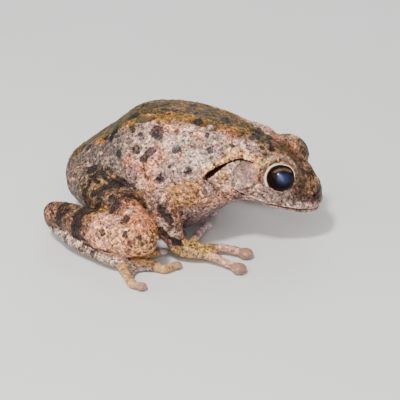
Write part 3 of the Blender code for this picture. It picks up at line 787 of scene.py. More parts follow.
@dataclass(frozen=True)
class Lids:
    """The round opening of the lids, its flat pale rim and the folds of the upper lid."""

    centre: Row = (23.35, -7.3, 17.65)
    axis: Row = (0.18, -0.93, 0.32)
    eye_radius: float = 3.14
    opening: float = math.radians(80)
    lower_gape: float = math.radians(24)
    edge: float = 0.13
    thickness: float = 0.14
    level: float = 0.46
    rim_width: Span = (0.0, 0.34)
    rim_height: float = 0.1
    rim_inset: float = 0.06
    rim_depth: float = 0.75
    rim_bead: Span = (0.12, 0.26)
    groove: float = 0.12
    groove_place: Span = (0.16, 0.14)
    corner: Row = (0.72, 0.0, 0.69)
    corner_gap: float = 0.3
    corner_span: Span = (0.72, 1.0)
    inner_share: float = 0.8
    reach: float = 5.3
    reach_share: float = 2.2
    last: float = math.radians(125)
    arc_middle: Row = (-0.3, 0.0, 0.95)
    arc_ends: Span = (-0.34, -0.1)
    fine_reach: float = 4.8
    folds: tuple[float, ...] = (math.radians(92), math.radians(104), math.radians(116))
    fold_depth: float = 0.09
    fold_half_width: float = math.radians(3)

    def place(self, points: Array, side: Side) -> tuple[Array, Array, Array]:
        """Finds how points lie about the eye.

        Args:
            points: The points to place.
            side: The side whose eye is read.

        Returns:
            The offsets from the middle of the eye, their lengths and their angles from the axis.
        """
        out = points - side.of(self.centre)
        distance = np.maximum(np.linalg.norm(out, axis=1), TINY)
        angle = np.arccos(np.clip(out @ unit(side.of(self.axis)) / distance, -1, 1))
        return out, distance, angle

    def pale(self, points: Array, side: Side) -> tuple[Array, Array]:
        """Finds the pale rim, which runs behind and over the eye and is widest behind it.

        Args:
            points: The skin's points.
            side: The side whose rim is read.

        Returns:
            The rim and the painted shade on the inner skin between it and the eye, from 0 to 1.
        """
        out = points - side.of(self.centre)
        depth, flat, radius = about(out, unit(side.of(self.axis)))
        arc = ease(flat @ unit(side.of(self.arc_middle)) / radius, *self.arc_ends)
        corner = flat @ unit(side.of(self.corner)) / radius
        bare = self.corner_gap * ease(corner, *self.corner_span)
        narrow, wide = self.rim_width
        inner = radius - (self.eye_radius - self.rim_inset + bare)
        behind = ease(-flat[:, 0] / radius, -0.9, 0.9)
        outer = radius - (self.eye_radius + bare + narrow + (wide - narrow) * behind)
        band = ease(inner, -0.05, 0.05) * ease(outer, 0.14, 0.0)
        flange = np.abs(depth - self.level) < self.rim_depth
        past = radius > self.inner_share * self.eye_radius
        # painted shade: the inner skin in the gap at the front top corner is darkened
        inside = ease(bare, 0.02, 0.1) * ease(inner, 0.02, -0.08) * past
        return arc * band * flange, inside * flange

    def move(self, points: Array, side: Side) -> Array:
        """Opens the lids.

        Args:
            points: The skin's points.
            side: The side whose lids are opened.

        Returns:
            The moved points.
        """
        out, distance, angle = self.place(points, side)
        close = (distance < self.reach_share * self.eye_radius) & (angle < self.last)
        axis = unit(side.of(self.axis))
        depth, flat, radius = about(out, axis)
        bead, bead_width = self.rim_bead
        wide = self.eye_radius + self.rim_width[1] + bead
        gape = self.opening - self.lower_gape * ease(-flat[:, 2] / radius, 0.2, 0.9)
        hole = self.eye_radius * np.sin(gape) / math.sin(self.opening)
        level = self.level + self.eye_radius * (np.cos(gape) - math.cos(self.opening))
        roll = self.rim_height * hump(radius, self.eye_radius + bead, bead_width)
        stand = np.maximum(depth - level - roll, 0.0)
        beyond, groove_width = self.groove_place
        groove = self.groove * hump(radius, wide + beyond, groove_width) * (stand > 0)
        sunk = stand * ease(radius, self.reach, wide) + groove
        lowered = flat + (depth - sunk)[:, None] * axis
        far = np.maximum(np.linalg.norm(lowered, axis=1), TINY)
        turned = np.arccos(np.clip((depth - sunk) / far, -1, 1))
        rise = np.maximum(ease(radius - hole, -self.edge, 0.0), ease(turned - gape, 0.0, 0.1))
        folds = sum(hump(angle, fold, self.fold_half_width) for fold in self.folds)
        hugging = (self.eye_radius + self.thickness) * ease(self.last - turned, 0.0, 0.3)
        lid = np.maximum(far, hugging) - self.fold_depth * folds * ease(out[:, 2], 0.0, 2.5)
        wanted = self.inner_share * self.eye_radius * (1 - rise) + lid * rise
        moved = side.of(self.centre) + lowered * (wanted / far)[:, None]
        return np.where(close[:, None], moved, points)


@dataclass(frozen=True)
class Eardrum(Relief):
    """The round eardrum inside its low rim."""

    centre: Row = (16.2, -10.2, 19.4)
    axis: Row = (0.05, -0.93, 0.36)
    radius: float = 3.0
    reach: float = 3.0
    rim: float = 0.3
    rim_half_width: float = 0.35
    depth: float = 0.34
    wall: Span = (-0.2, -0.7)
    boss: float = 0.12
    boss_radius: float = 0.9

    def place(self, points: Array, side: Side) -> Array:
        """Measures points from the eardrum's axis.

        Args:
            points: The points to place.
            side: The side whose eardrum is read.

        Returns:
            The distances, or a far one where points lie above or below the eardrum.
        """
        depth, _, radius = about(points - side.of(self.centre), unit(side.of(self.axis)))
        return np.where((radius < 2 * self.radius) & (np.abs(depth) < self.reach), radius, 99.0)

    def height(self, points: Array, side: Side) -> Array:
        """Sinks the eardrum inside its rim, with a low boss in its middle.

        Args:
            points: The skin's points.
            side: The side whose eardrum is sunk.

        Returns:
            How far each point is raised.
        """
        radius = self.place(points, side)
        rim = self.rim * hump(radius, self.radius, self.rim_half_width)
        drum = self.depth * ease(radius - self.radius, *self.wall)
        return rim - drum + self.boss * hump(radius, 0.0, self.boss_radius)


@dataclass(frozen=True)
class FaceLine(Relief):
    """A ridge along the side of the face, with a hollow that runs along under it.

    The ridge and the hollow are each a height, an offset above the line and a half width.
    """

    line: Rows
    ridge: Row
    hollow: Row
    margin: float = 4.5
    reach: float = 4.0
    depth: float = 3.5

    def place(self, points: Array, side: Side) -> tuple[Array, Array]:
        """Finds how points lie along the line.

        Args:
            points: The points to place.
            side: The side whose line is read.

        Returns:
            The height above the line, and the line's strength there from 0 to 1.
        """
        line = side.of(smoothed_rows(self.line, 60))
        found = near(points, line, self.margin)
        above, strength = np.full(len(points), FAR), np.zeros(len(points))
        close = points[found]
        gaps = np.linalg.norm(close[:, None, ::2] - line[None, :, ::2], axis=2)
        nearest = gaps.argmin(axis=1)
        along = nearest / (len(line) - 1)
        tangent = unit(np.gradient(line[:, ::2], axis=0))[nearest]
        off = close[:, ::2] - line[nearest][:, ::2]
        height = tangent[:, 1] * off[:, 0] - tangent[:, 0] * off[:, 1]
        above[found] = height if line[0, 0] > line[-1, 0] else -height
        level = np.abs(close[:, 1] - line[nearest][:, 1]) < self.depth
        beside = level & (gaps.min(axis=1) < self.reach)
        strength[found] = beside * ease(along, -0.15, 0.2) * ease(along, 1.0, 0.86)
        return above, strength

    def height(self, points: Array, side: Side) -> Array:
        """Raises the ridge and sinks the hollow.

        Args:
            points: The skin's points.
            side: The side whose line is shaped.

        Returns:
            How far each point is raised.
        """
        above, strength = self.place(points, side)
        raised, sunk = (form[0] * hump(above, *form[1:]) for form in (self.ridge, self.hollow))
        return strength * (raised - sunk)


@dataclass(frozen=True)
class Nostril(Relief):
    """The nostril's pit and its low rim."""

    centre: Row = (30.0, -2.5, 11.9)
    radius: float = 0.56
    depth: float = 0.6
    rim: float = 0.26
    rim_half_width: float = 0.4

    def place(self, points: Array, side: Side) -> Array:
        """Returns the distance of points from the nostril."""
        return gap(points, side.of(self.centre))

    def height(self, points: Array, side: Side) -> Array:
        """Sinks the nostril.

        Args:
            points: The skin's points.
            side: The side whose nostril is sunk.

        Returns:
            How far each point is raised.
        """
        away = self.place(points, side)
        pit = self.depth * hump(away, 0.0, self.radius)
        return self.rim * hump(away, 2 * self.radius, self.rim_half_width) - pit


@dataclass(frozen=True)
class Hips(Relief):
    """The ridges of the hip bones under the skin of the back, and the line of the spine."""

    ridge: Rows = ((-27.0, 3.4), (-20.0, 4.8), (-13.0, 6.0), (-6.0, 7.0))
    ridge_height: float = 0.45
    half_width: float = 1.5
    spine: float = 0.3
    spine_half_width: float = 2.2

    def height(self, points: Array, side: Side) -> Array:
        """Raises the hips, both at once.

        Args:
            points: The skin's points.
            side: Not used, since both sides are the same.

        Returns:
            How far each point is raised.
        """
        x, y, z = points.T
        beside = np.abs(y) - np.interp(x, *np.array(self.ridge).T)
        reach = ease(x, -28.0, -20.0) * ease(x, -2.0, -13.0) * ease(z, 10.0, 14.0)
        raised = self.ridge_height * hump(beside, 0.0, self.half_width)
        return reach * (raised - self.spine * hump(y, 0.0, self.spine_half_width))


FOLD = FaceLine(
    ((19.4, -9.8, 20.4), (16.6, -9.9, 21.5), (14.2, -10.4, 22.1),
     (11.0, -11.6, 21.1), (9.0, -12.5, 20.1), (6.0, -13.6, 17.7)),
    (0.7, 0.65, 0.7),
    (0.75, -0.2, 0.38),
)
CANTHUS = FaceLine(
    ((25.6, -6.6, 18.2), (27.4, -5.4, 16.2), (29.0, -4.0, 14.2), (30.4, -2.6, 12.4)),
    (0.4, 0.1, 0.8),
    (0.4, -1.7, 1.0),
)


DEEPEN = 1.4  # how much deeper tones are than they look, since the studio is bright


def linear(tone: Tone) -> Array:
    """Turns a tone into the linear, deepened values that shaders read.

    Args:
        tone: Red, green and blue as they look in even light, from 0 to 255.

    Returns:
        The linear colour.
    """
    value = np.array(tone, float) / 255
    return np.where(value <= 0.04045, value / 12.92, ((value + 0.055) / 1.055) ** 2.4) ** DEEPEN


@dataclass(frozen=True)
class Tones:
    """The frog's colours, as they look in even light, from 0 to 255."""

    flank: Tone = (216, 190, 174)
    rump: Tone = (118, 111, 107)
    ochre: Tone = (128, 98, 36)
    gold: Tone = (164, 126, 50)
    olive: Tone = (108, 96, 42)
    tan: Tone = (196, 164, 126)
    cream: Tone = (232, 208, 154)
    peach: Tone = (250, 202, 154)
    honey: Tone = (206, 184, 96)
    # pale pad skin, brightened as painted light where it lies in shade; also a painted glint
    frost_and_glint: Tone = (230, 212, 216)
    mauve: Tone = (128, 98, 100)
    lid: Tone = (192, 167, 148)
    lilac: Tone = (160, 140, 148)
    pale: Tone = (226, 208, 194)
    salmon: Tone = (218, 156, 120)
    belly: Tone = (168, 152, 150)
    thigh: Tone = (98, 87, 73)
    shank: Tone = (224, 178, 158)
    heel: Tone = (116, 92, 76)
    tarsus: Tone = (198, 182, 170)
    arm: Tone = (214, 170, 124)
    forearm: Tone = (166, 138, 130)
    palm: Tone = (212, 182, 130)
    digit: Tone = (222, 184, 164)
    toe: Tone = (216, 182, 138)
    pad: Tone = (184, 150, 130)
    crown: Tone = (122, 93, 72)
    snout: Tone = (90, 69, 60)
    cheek: Tone = (170, 149, 144)
    lip: Tone = (182, 158, 152)
    drum: Tone = (180, 152, 146)
    rim: Tone = (252, 236, 210)
    # painted shade for the creases, the nostrils and the line of the mouth
    shade_black: Tone = (66, 44, 32)

    def linear(self, name: str) -> Array:
        """Returns a named tone as shaders read it."""
        return linear(getattr(self, name))


TONES = Tones()


@dataclass(frozen=True)
class Wash:
    """A soft tone, as strong at a point as all its ramps together.

    A ramp is a reading of the skin, the value where the tone starts and the one where it is full.
    """

    tone: str
    strength: float = 1.0
    ramps: tuple[tuple[str, float, float], ...] = ()

    def amount(self, readings: dict[str, Array]) -> Array:
        """Works out how much of the tone shows.

        Args:
            readings: The skin's readings by name, with the share of the part that is washed.

        Returns:
            An amount for each point.
        """
        made = self.strength * readings["share"]
        for name, start, full in self.ramps:
            made = made * ease(readings[name], start, full)
        return made


BACK = (("band", 0.5, -0.5), ("z", 13, 16))
BODY_WASHES = (
    Wash("rump", 0.85, (("x_drifting", -4.5, -14.5),)),
    Wash("salmon", 0.5, (("drift", 0.55, 0.8), ("z", 8, 14), ("x", -14, -8))),
    Wash("lilac", 0.35, (("drift", 0.45, 0.2),)),
    Wash("ochre", 0.95, BACK),
    Wash("olive", 0.8, (*BACK, ("streaky", 0.36, 0.62))),
    Wash("gold", 0.55, (*BACK, ("streaky", 0.5, 0.2), ("x", -14, -6))),
    Wash("olive", 0.85, (*BACK, ("x", -1, -12))),
    Wash("belly", 1.0, (("height", -1.5, -6.0),)),
    Wash("crown", 0.9, (("x_ragged", 15.5, 20.5), ("angle", 0.35, 0.8))),
    Wash("cheek", 0.7, (("x", 16, 19), ("angle", 0.6, 0.3), ("height", -0.5, 0.5))),
    Wash("snout", 0.95, (("x_rough", 25.2, 27.6), ("height", 0.9, 2.2))),
    Wash("lip", 0.9, (("x", 13.5, 15.5), ("lip", -0.8, 0.0), ("lip", 2.6, 1.1))),
    Wash("lip", 0.6, (("x", 13.5, 15.5), ("lip", -3.0, -1.0), ("lip", 0.0, -0.6))),
)
LIMB_WASHES = (
    ("shank", Wash("shank")),
    ("tarsus", Wash("tarsus")),
    ("forearm", Wash("forearm")),
    ("palm", Wash("palm")),
    ("finger", Wash("digit")),
    ("toe", Wash("toe")),
    ("upper_arm", Wash("forearm", 0.8, (("along", 0.0, 0.3),))),
    ("upper_arm", Wash("arm", 0.9, (("ragged", 0.25, 0.5), ("along", 1.0, 0.85)))),
    ("thigh", Wash("rump")),
    ("thigh", Wash("thigh", 1.0, (("ragged", 0.12, 0.3),))),
    ("thigh", Wash("olive", 0.5, (("fine", 0.5, 0.75), ("along", 0.1, 0.3)))),
    ("thigh", Wash("salmon", 0.8, (("ragged", 0.55, 0.8),))),
    # painted shade: lilac darkens the shank's lower side
    ("shank", Wash("lilac", 0.45, (("z", 8.0, 4.0),))),
    ("shank", Wash("ochre", 0.85, (("ragged", 0.18, 0.04),))),
    ("shank", Wash("heel", 0.95, (("ragged", 0.44, 0.58),))),
    ("shank", Wash("ochre", 0.6, (("z", 8.5, 10.5), ("along", 0.3, 0.5), ("fine", 0.4, 0.6)))),
    ("finger", Wash("palm", 0.8, (("ragged", 0.35, 0.1),))),
)


@dataclass(frozen=True)
class Markings:
    """The frog's colours and dark marks, laid over the skin from named places.

    A spot is x, y, z and radius. A streak is x, y and z at both ends and a half width. A bar is a
    limb length, a place along it and a half width along it. Patches are spots of one soft tone.
    """

    tones: Tones = TONES
    band: Rows = (
        (-26.0, 3.0), (-20.1, 5.4), (-16.1, 6.2), (-12.5, 6.8), (-10.8, 6.4), (-7.5, 5.8),
        (-3.8, 6.2), (2.0, 5.6), (7.6, 4.8), (12.1, 3.6), (16.5, 2.0),
    )
    spots: Rows = (
        (-4.6, -8.9, 26.2, 1.45), (0.7, -11.2, 23.9, 0.85), (-8.7, -11.4, 22.6, 0.9),
        (-13.2, -10.6, 20.9, 0.8), (-15.8, -5.8, 23.7, 0.95), (-16.4, -6.7, 22.2, 0.7),
        (-17.8, -5.4, 22.0, 0.7), (-22.3, -4.9, 18.7, 0.8), (-19.9, -10.6, 15.8, 1.2),
        (-10.7, -7.8, 25.5, 0.6), (-8.7, -9.1, 25.2, 0.55), (-10.7, 2.3, 27.5, 1.0),
        (3.5, -13.3, 19.8, 0.8), (-2.4, -14.5, 17.9, 0.7), (-11.6, -3.0, 26.8, 0.9),
        (7.8, -9.7, 23.8, 0.7), (3.5, -4.7, 27.9, 0.9), (8.9, -0.6, 27.2, 0.9),
        (12.2, -7.3, 24.3, 0.6), (16.5, 1.4, 24.1, 1.1), (-12.3, -19.3, 14.2, 0.5),
        (-8.4, -20.3, 14.6, 0.5), (-12.2, -27.2, 9.2, 0.75), (-7.4, -24.5, 11.6, 1.1),
        (-6.4, -27.9, 10.0, 0.6), (-3.4, -28.2, 9.8, 0.6), (-22.6, -20.4, 9.2, 1.1),
        (6.2, -7.2, 26.2, 0.5), (-0.4, -13.5, 20.6, 0.4), (9.5, -11.8, 21.3, 0.4),
        (-5.5, 0.6, 28.8, 1.0), (-17.0, 0.4, 24.4, 1.0), (1.0, 1.8, 28.8, 0.8),
    )
    streaks: Rows = (
        (-5.0, -11.8, 23.1, -6.6, -12.7, 21.4, 0.75), (-5.0, -2.0, 28.9, -2.2, -2.4, 28.9, 0.5),
        (-19.4, -14.0, 14.7, -16.7, -14.9, 15.3, 0.4),
        (-16.2, -17.1, 13.9, -14.1, -16.3, 15.2, 0.5),
        (-17.5, -16.9, 13.0, -15.5, -17.1, 14.3, 0.7),
        (-16.1, -21.0, 10.7, -18.6, -23.9, 8.6, 0.85), (-18.6, -23.9, 8.6, -19.2, -23.8, 5.7, 0.8),
        (-19.2, -23.8, 5.7, -16.6, -25.1, 5.5, 0.6), (-16.4, -24.5, 4.2, -10.6, -27.8, 5.1, 0.45),
        (-0.1, -22.4, 14.8, 2.1, -21.9, 11.4, 0.75), (-0.1, -21.9, 9.0, 3.7, -19.7, 4.8, 0.55),
        (-17.6, -12.0, 16.0, -11.5, -16.9, 15.2, 0.4), (25.5, -8.7, 15.4, 27.0, -6.0, 13.8, 0.42),
        (18.6, 1.7, 23.4, 20.2, -3.2, 22.3, 0.5), (9.2, -14.9, 3.1, 10.8, -14.8, 2.6, 0.27),
        (12.6, -19.2, 2.9, 14.0, -19.8, 2.4, 0.25),
    )
    rings: Rows = ((15.6, -2.9, 24.5, 0.62), (18.4, -4.2, 23.1, 0.56))
    # the second finger and a toe pad, pale skin brightened as painted light in their shade, and a
    # painted glint by the nostril
    frosted_and_glints: Rows = (
        (5.3, -3.3, 1.2, 1.8), (5.4, -6.2, 2.0, 1.2), (5.3, -8.5, 2.4, 1.1), (5.2, -10.7, 2.6, 1.0),
        (-1.0, -18.0, 1.2, 1.3), (30.3, -2.9, 11.4, 0.2),
    )
    bars: tuple[tuple[str, float, float], ...] = (
        ("thigh", 0.28, 0.022), ("thigh", 0.42, 0.03), ("thigh", 0.62, 0.03),
        ("shank", 0.63, 0.045), ("shank", 0.82, 0.03), ("tarsus", 0.14, 0.02),
        ("tarsus", 0.34, 0.024), ("tarsus", 0.5, 0.02), ("tarsus", 0.61, 0.02),
    )
    bar_strength: float = 0.84
    mottled: tuple[tuple[str, float], ...] = (
        ("shank", 1.0), ("thigh", 0.25), ("forearm", 0.2), ("upper_arm", 0.35), ("tarsus", 0.15),
    )
    patches: tuple[tuple[str, Rows], ...] = (
        ("tan", (
            (-17.3, -15.3, 14.8, 1.7), (-6.2, -20.6, 15.2, 1.3), (27.5, 0.6, 17.1, 1.2),
            (30.4, 0.9, 14.1, 0.8),
        )),
        ("crown", ((15.2, -9.5, 20.3, 0.9), (25.9, -6.9, 15.6, 0.9))),
        ("honey", ((6.2, -15.7, 3.6, 1.0), (9.3, -18.8, 2.9, 0.8), (5.3, -15.3, 3.5, 0.8))),
        ("peach", (
            (17.8, -8.7, 20.6, 0.8), (19.6, -9.4, 19.4, 0.7), (8.6, -12.6, 19.9, 1.0),
            (13.6, -10.2, 22.8, 1.0),
        )),
        ("cream", (
            (11.7, -7.9, 24.0, 1.1), (14.1, -8.3, 23.2, 1.1), (16.0, -8.7, 22.4, 0.9),
            (19.2, -7.9, 21.2, 0.9), (20.8, -6.9, 21.7, 0.9), (21.9, -6.5, 22.1, 0.9),
            (9.6, -12.3, 20.4, 0.9), (11.7, -10.8, 21.7, 0.9), (11.3, -11.0, 19.7, 0.9),
            (11.1, -11.8, 17.8, 0.8), (9.0, -15.4, 3.4, 0.8),
        )),
        ("salmon", (
            (-2.5, -11.9, 23.3, 1.9), (-10.0, -12.6, 19.8, 1.6), (-6.2, -13.4, 20.3, 1.5),
            (-6.6, -14.1, 18.5, 1.4), (4.3, -8.0, 26.0, 1.8), (11.2, -4.9, 25.7, 1.5),
            (-7.1, -22.1, 13.9, 1.5), (-9.5, -20.6, 14.4, 1.0), (-5.9, -28.6, 8.7, 1.5),
            (-4.6, -15.2, 14.9, 1.6), (-4.9, -23.2, 13.6, 1.6), (10.4, -11.6, 21.9, 1.0),
            (20.4, 3.5, 22.2, 1.2), (24.0, 3.0, 20.6, 1.1), (19.0, -10.0, 17.6, 0.8),
        )),
        ("gold", (
            (0.1, -4.9, 28.0, 2.2), (-3.9, -5.2, 28.0, 2.0), (-13.0, -5.9, 25.7, 1.5),
            (-19.7, -4.6, 20.8, 1.6), (5.4, -4.6, 27.6, 1.4), (9.4, -3.4, 26.7, 1.4),
            (-0.7, -24.9, 10.9, 1.2), (-0.2, -26.0, 9.4, 1.1), (-0.6, -26.9, 7.4, 1.0),
            (-16.2, -20.0, 11.0, 1.1), (-13.6, -20.6, 11.4, 1.0), (2.5, -20.4, 13.3, 1.2),
            (3.5, -19.6, 10.9, 1.1), (2.3, -18.8, 17.4, 1.4), (5.1, -16.9, 16.8, 1.2),
            (11.9, -11.4, 18.2, 1.1), (14.3, -8.4, 23.5, 1.2), (11.4, -9.6, 22.9, 1.1),
        )),
        ("olive", (
            (-17.3, -15.3, 14.8, 1.3), (26.9, -4.6, 16.8, 1.0), (13.5, -0.3, 25.7, 1.6),
            (17.2, -1.2, 24.2, 1.4), (-20.0, -19.5, 9.6, 1.6), (22.0, -1.6, 22.2, 1.6),
        )),
        ("lilac", (
            (-9.9, -21.8, 13.0, 1.3), (-10.9, -26.4, 10.7, 1.5), (8.9, -13.7, 16.0, 1.3),
            (14.1, -10.6, 13.3, 1.6), (-10.5, -15.0, 15.0, 1.2), (4.7, -11.2, 6.0, 2.5),
            (12.5, -9.6, 11.1, 2.2), (3.4, -9.6, 3.0, 2.6), (6.8, -10.6, 5.4, 2.4),
            (3.5, -13.3, 19.8, 1.4), (-2.4, -14.5, 17.9, 1.3), (-4.6, -8.9, 26.2, 1.4),
            (-5.8, -12.2, 22.3, 1.1), (0.7, -11.2, 23.9, 1.1),
        )),
        ("pale", (
            (-1.5, -20.4, 17.8, 0.9), (0.4, -21.8, 16.3, 0.9), (19.0, -10.2, 15.9, 1.0),
            (-11.6, -22.7, 11.5, 0.9), (-9.4, -23.7, 11.6, 0.9), (-7.1, -23.0, 13.3, 0.9),
            (4.5, -17.1, 17.1, 0.5), (0.6, -12.8, 21.9, 2.0), (3.9, -12.2, 21.6, 2.0),
            (7.1, -11.3, 22.0, 1.7), (-1.8, -10.1, 25.3, 1.5), (2.1, -9.1, 25.8, 1.6),
            (8.7, -13.8, 16.2, 0.7), (-0.4, -22.2, 10.8, 0.8), (0.7, -22.2, 9.6, 0.8),
            (2.0, -21.6, 8.4, 0.7), (3.0, -20.7, 7.2, 0.7), (-24.2, -19.9, 4.5, 1.1),
            (-22.3, -21.7, 4.0, 1.3), (-18.7, -23.8, 3.8, 1.2), (-15.7, -24.9, 3.6, 0.9),
            (13.2, -11.1, 18.3, 0.5), (14.6, -11.1, 17.2, 0.5), (25.2, -7.4, 11.6, 0.8),
            (27.6, -6.2, 10.8, 0.7),
        )),
    )
    patch_strength: float = 0.62
    left_drift: float = 1.1
    drift_half_width: float = 16.0

    def _placed(self, rows: Rows, side: Side) -> Array:
        """Returns rows for one side, the left side's drifted a little so that the two differ.

        Args:
            rows: Rows that start with x, y and z, once or twice, and end with a radius.
            side: The side they are laid on.

        Returns:
            The rows in place.
        """
        made = np.array(rows, float)
        drift = np.random.default_rng(len(rows)).normal(0, self.left_drift, (len(made), 2))
        for first in range(0, made.shape[1] - 1, 3):
            if side is Side.LEFT:
                beside = np.abs(made[:, [first + 1]]) < self.drift_half_width
                made[:, [first, first + 2]] += drift * beside
            made[:, first : first + 3] = side.of(made[:, first : first + 3])
        return made

    @staticmethod
    def _away(points: Array, start: Array, end: Array, reach: float) -> tuple[Array, Array]:
        """Measures points from a line between two places.

        Args:
            points: The points.
            start: One end of the line.
            end: The other end.
            reach: How far from the line points are still of use.

        Returns:
            Which points are near, and their distances.
        """
        found = near(points, np.array((start, end)), reach)
        way = end - start
        out = points[found] - start
        share = np.clip(out @ way / max(way @ way, TINY), 0, 1)
        return found, gap(out, share[:, None] * way)

    def _readings(self, points: Array, skin: "FrogSkin") -> dict[str, Array]:
        """Reads what the washes go by.

        Args:
            points: The skin's points.
            skin: The skin that they belong to.

        Returns:
            Places in millimetres and noise from 0 to 1, by name.
        """
        x, y, z = points.T
        height, angle = skin.trunk.across(points)
        drift, fine = Grain(4.5, 3).soft(points), Grain(1.6, 5).soft(points)
        streaky = Grain(1.5, 6).soft(points * np.array((0.35, 1.4, 1.4)))
        edge = np.interp(x, *np.array(self.band).T)
        return {
            "x": x,
            "z": z,
            "x_drifting": x + 6 * (drift - 0.5),
            "x_ragged": x + 3 * (fine - 0.5),
            "x_rough": x + 1.5 * (fine - 0.5),
            "height": height,
            "angle": angle,
            "band": np.abs(y) + 3.2 * (fine - 0.5) + 2.4 * (drift - 0.5) - edge,
            "drift": drift,
            "fine": fine,
            "streaky": streaky,
            "lip": skin.mouth.above(points),
            "share": np.ones(len(points)),
        }

    def _lay_face(self, points: Array, skin: "FrogSkin", side: Side, lay: Layer) -> None:
        """Lays the tones of the face's lines, the eardrum and the upper lid.

        Args:
            points: The skin's points.
            skin: The skin whose parts are coloured.
            side: The side that is coloured.
            lay: What lays one tone over the colours so far.
        """
        above, strength = CANTHUS.place(points, side)
        lay("tan", 0.4 * strength * hump(above, 0.3, 0.7))
        above, strength = FOLD.place(points, side)
        lay("peach", 0.95 * strength * hump(above, 0.8, 0.7))
        radius = skin.eardrum.place(points, side)
        lay("drum", 0.95 * ease(radius, 3.2, 2.5))
        rear = ease(points[:, 0] - skin.eardrum.centre[0], -0.5, 2.0)
        lay("snout", 0.75 * hump(radius, 3.1, 0.3) * rear)
        lay("pale", 0.6 * hump(radius, 2.8, 0.35) * (1 - rear))
        out, distance, turned = skin.lids.place(points, side)
        upper = ease(out[:, 2], 0.3, 1.8) * (distance < 5.5)
        # the upper lid's pale skin, partly painted light: much stronger on the right side
        lit = 0.8 if side is Side.RIGHT else 0.25
        lay("lid", lit * upper * hump(turned, math.radians(98), math.radians(17)))

    def ground(self, points: Array, skin: "FrogSkin") -> Array:
        """Lays out the soft colours under the marks.

        Args:
            points: The skin's points.
            skin: The skin whose parts are coloured.

        Returns:
            A linear colour for each point.
        """
        colour = np.tile(self.tones.linear("flank"), (len(points), 1))

        def lay(tone: str, amount: Array, where: Array | slice = slice(None)) -> None:
            """Lays a named tone over the colours so far."""
            share = np.clip(amount, 0, 1)[:, None]
            colour[where] = colour[where] * (1 - share) + self.tones.linear(tone) * share

        readings = self._readings(points, skin)
        for wash in BODY_WASHES:
            lay(wash.tone, wash.amount(readings))
        x, fine = readings["x"], readings["fine"]
        lip_line = hump(readings["lip"], 0.5, 0.26) * (1 - 0.5 * ease(x, 27, 30))
        lay("rim", 0.75 * ease(x, 13.0, 15.5) * lip_line)
        for side in Side:
            self._lay_face(points, skin, side, lay)
            owner = skin.owners(points, side)
            for name, wash in LIMB_WASHES:
                along, share = owner[name]
                readings |= {"along": along, "ragged": along + 0.2 * (fine - 0.5), "share": share}
                lay(wash.tone, wash.amount(readings))
            for name, rows in self.patches:
                for row in self._placed(rows, side):
                    reach = row[3]
                    found, away = self._away(points, row[:3], row[:3], 2.4 * reach)
                    ragged = away + 1.2 * reach * (fine[found] - 0.5)
                    lay(name, self.patch_strength * ease(ragged, 1.7 * reach, 0.4 * reach), found)
            lay("pad", owner["pad"][1] * (1 - 0.6 * owner["toe"][1]))
            # pale pad skin partly painted light, and a painted glint beside the nostril
            for *place, reach in self.frosted_and_glints:
                found, away = self._away(points, side.of(place), side.of(place), 1.5 * reach)
                lay("frost_and_glint", 0.95 * ease(away, 1.4 * reach, 0.7 * reach), found)
        return colour

    def marks(self, points: Array, skin: "FrogSkin") -> dict[str, Array]:
        """Works out the masks that the skin's finish reads.

        Args:
            points: The skin's points.
            skin: The skin that is marked.

        Returns:
            Each mask by name, from 0 to 1.
        """
        x, _, z = points.T
        bends = np.stack([Grain(1.3, 11 + i).soft(points) - 0.5 for i in range(3)], axis=1)
        warped = points + 0.9 * bends
        noise = Grain(2.0, 21).soft(points)
        masks = {name: np.zeros(len(points)) for name in MASKS}

        def deepen(name: str, amount: Array, where: Array | slice = slice(None)) -> None:
            """Raises a mask to an amount where that is more."""
            masks[name][where] = np.maximum(masks[name][where], amount)

        def draw(name: str, where: Array, rows: Array, low: float, high: float) -> None:
            """Draws spots or streaks into a mask, fading from low to high radii.

            Args:
                name: The mask.
                where: The points to draw on.
                rows: Each mark's place, or its two ends, and its radius.
                low: Where the mark starts to fade, in its radii.
                high: Where it has gone, in its radii.
            """
            for row in rows:
                radius = row[-1]
                found, away = self._away(where, row[:3], row[-4:-1], high * radius)
                deepen(name, ease(away, high * radius, low * radius), found)

        for side in Side:
            owner = skin.owners(points, side)
            for rows in (self.spots, self.streaks):
                draw("dark", warped, self._placed(rows, side), 0.75, 1.65)
            rings = self._placed(self.rings, side)
            draw("halo", points, rings, 2.0, 2.7)
            draw("dark", points, rings, 1.0, 1.5)
            outer = self.bar_strength * ease(z, 0.8, 2.5)
            for name, place, width in self.bars:
                along, amount = owner[name]
                off = np.abs(along + 0.07 * (noise - 0.5) - place)
                deepen("dark", outer * amount * ease(off, 1.5 * width, 0.6 * width))
            for name, amount in zip(("rim", "crease_shade"), skin.lids.pale(points, side)):
                deepen(name, amount)
            above, strength = FOLD.place(points, side)
            open_end = ease(12.5 - x, 0.0, 4.0)
            slit = hump(above, -0.2 - 0.3 * open_end, 0.26 + 0.5 * open_end)
            # painted shade in the slit under the fold
            deepen("crease_shade", strength * ease(x, 18.4, 16.6) * slit)
            nostril = skin.nostril.place(points, side)
            # painted shade in the nostril's pit
            deepen("crease_shade", hump(nostril, 0.0, skin.nostril.radius))
            deepen("wet", 0.85 * owner["pad"][1])
            deepen("wet", 0.55 * np.maximum(owner["finger"][1], owner["toe"][1]))
            deepen("wet", 0.6 * ease(skin.eardrum.place(points, side), 3.1, 2.3))
            deepen("wet", 0.7 * ease(nostril, 1.3, 0.6))
            for name, amount in self.mottled:
                fading = 1 - 0.85 * ease(owner[name][0], 0.42, 0.58) * (name == "shank")
                deepen("mottle", amount * owner[name][1] * fading)
        lip = skin.mouth.above(points)
        deepen("wet", 0.55 * hump(lip, 0.5, 0.35) * ease(x, 13.0, 15.0))
        # painted shade along the line of the mouth
        deepen("crease_shade", 0.95 * hump(lip, -0.05, 0.2) * ease(x, 13.2, 14.5))
        return masks


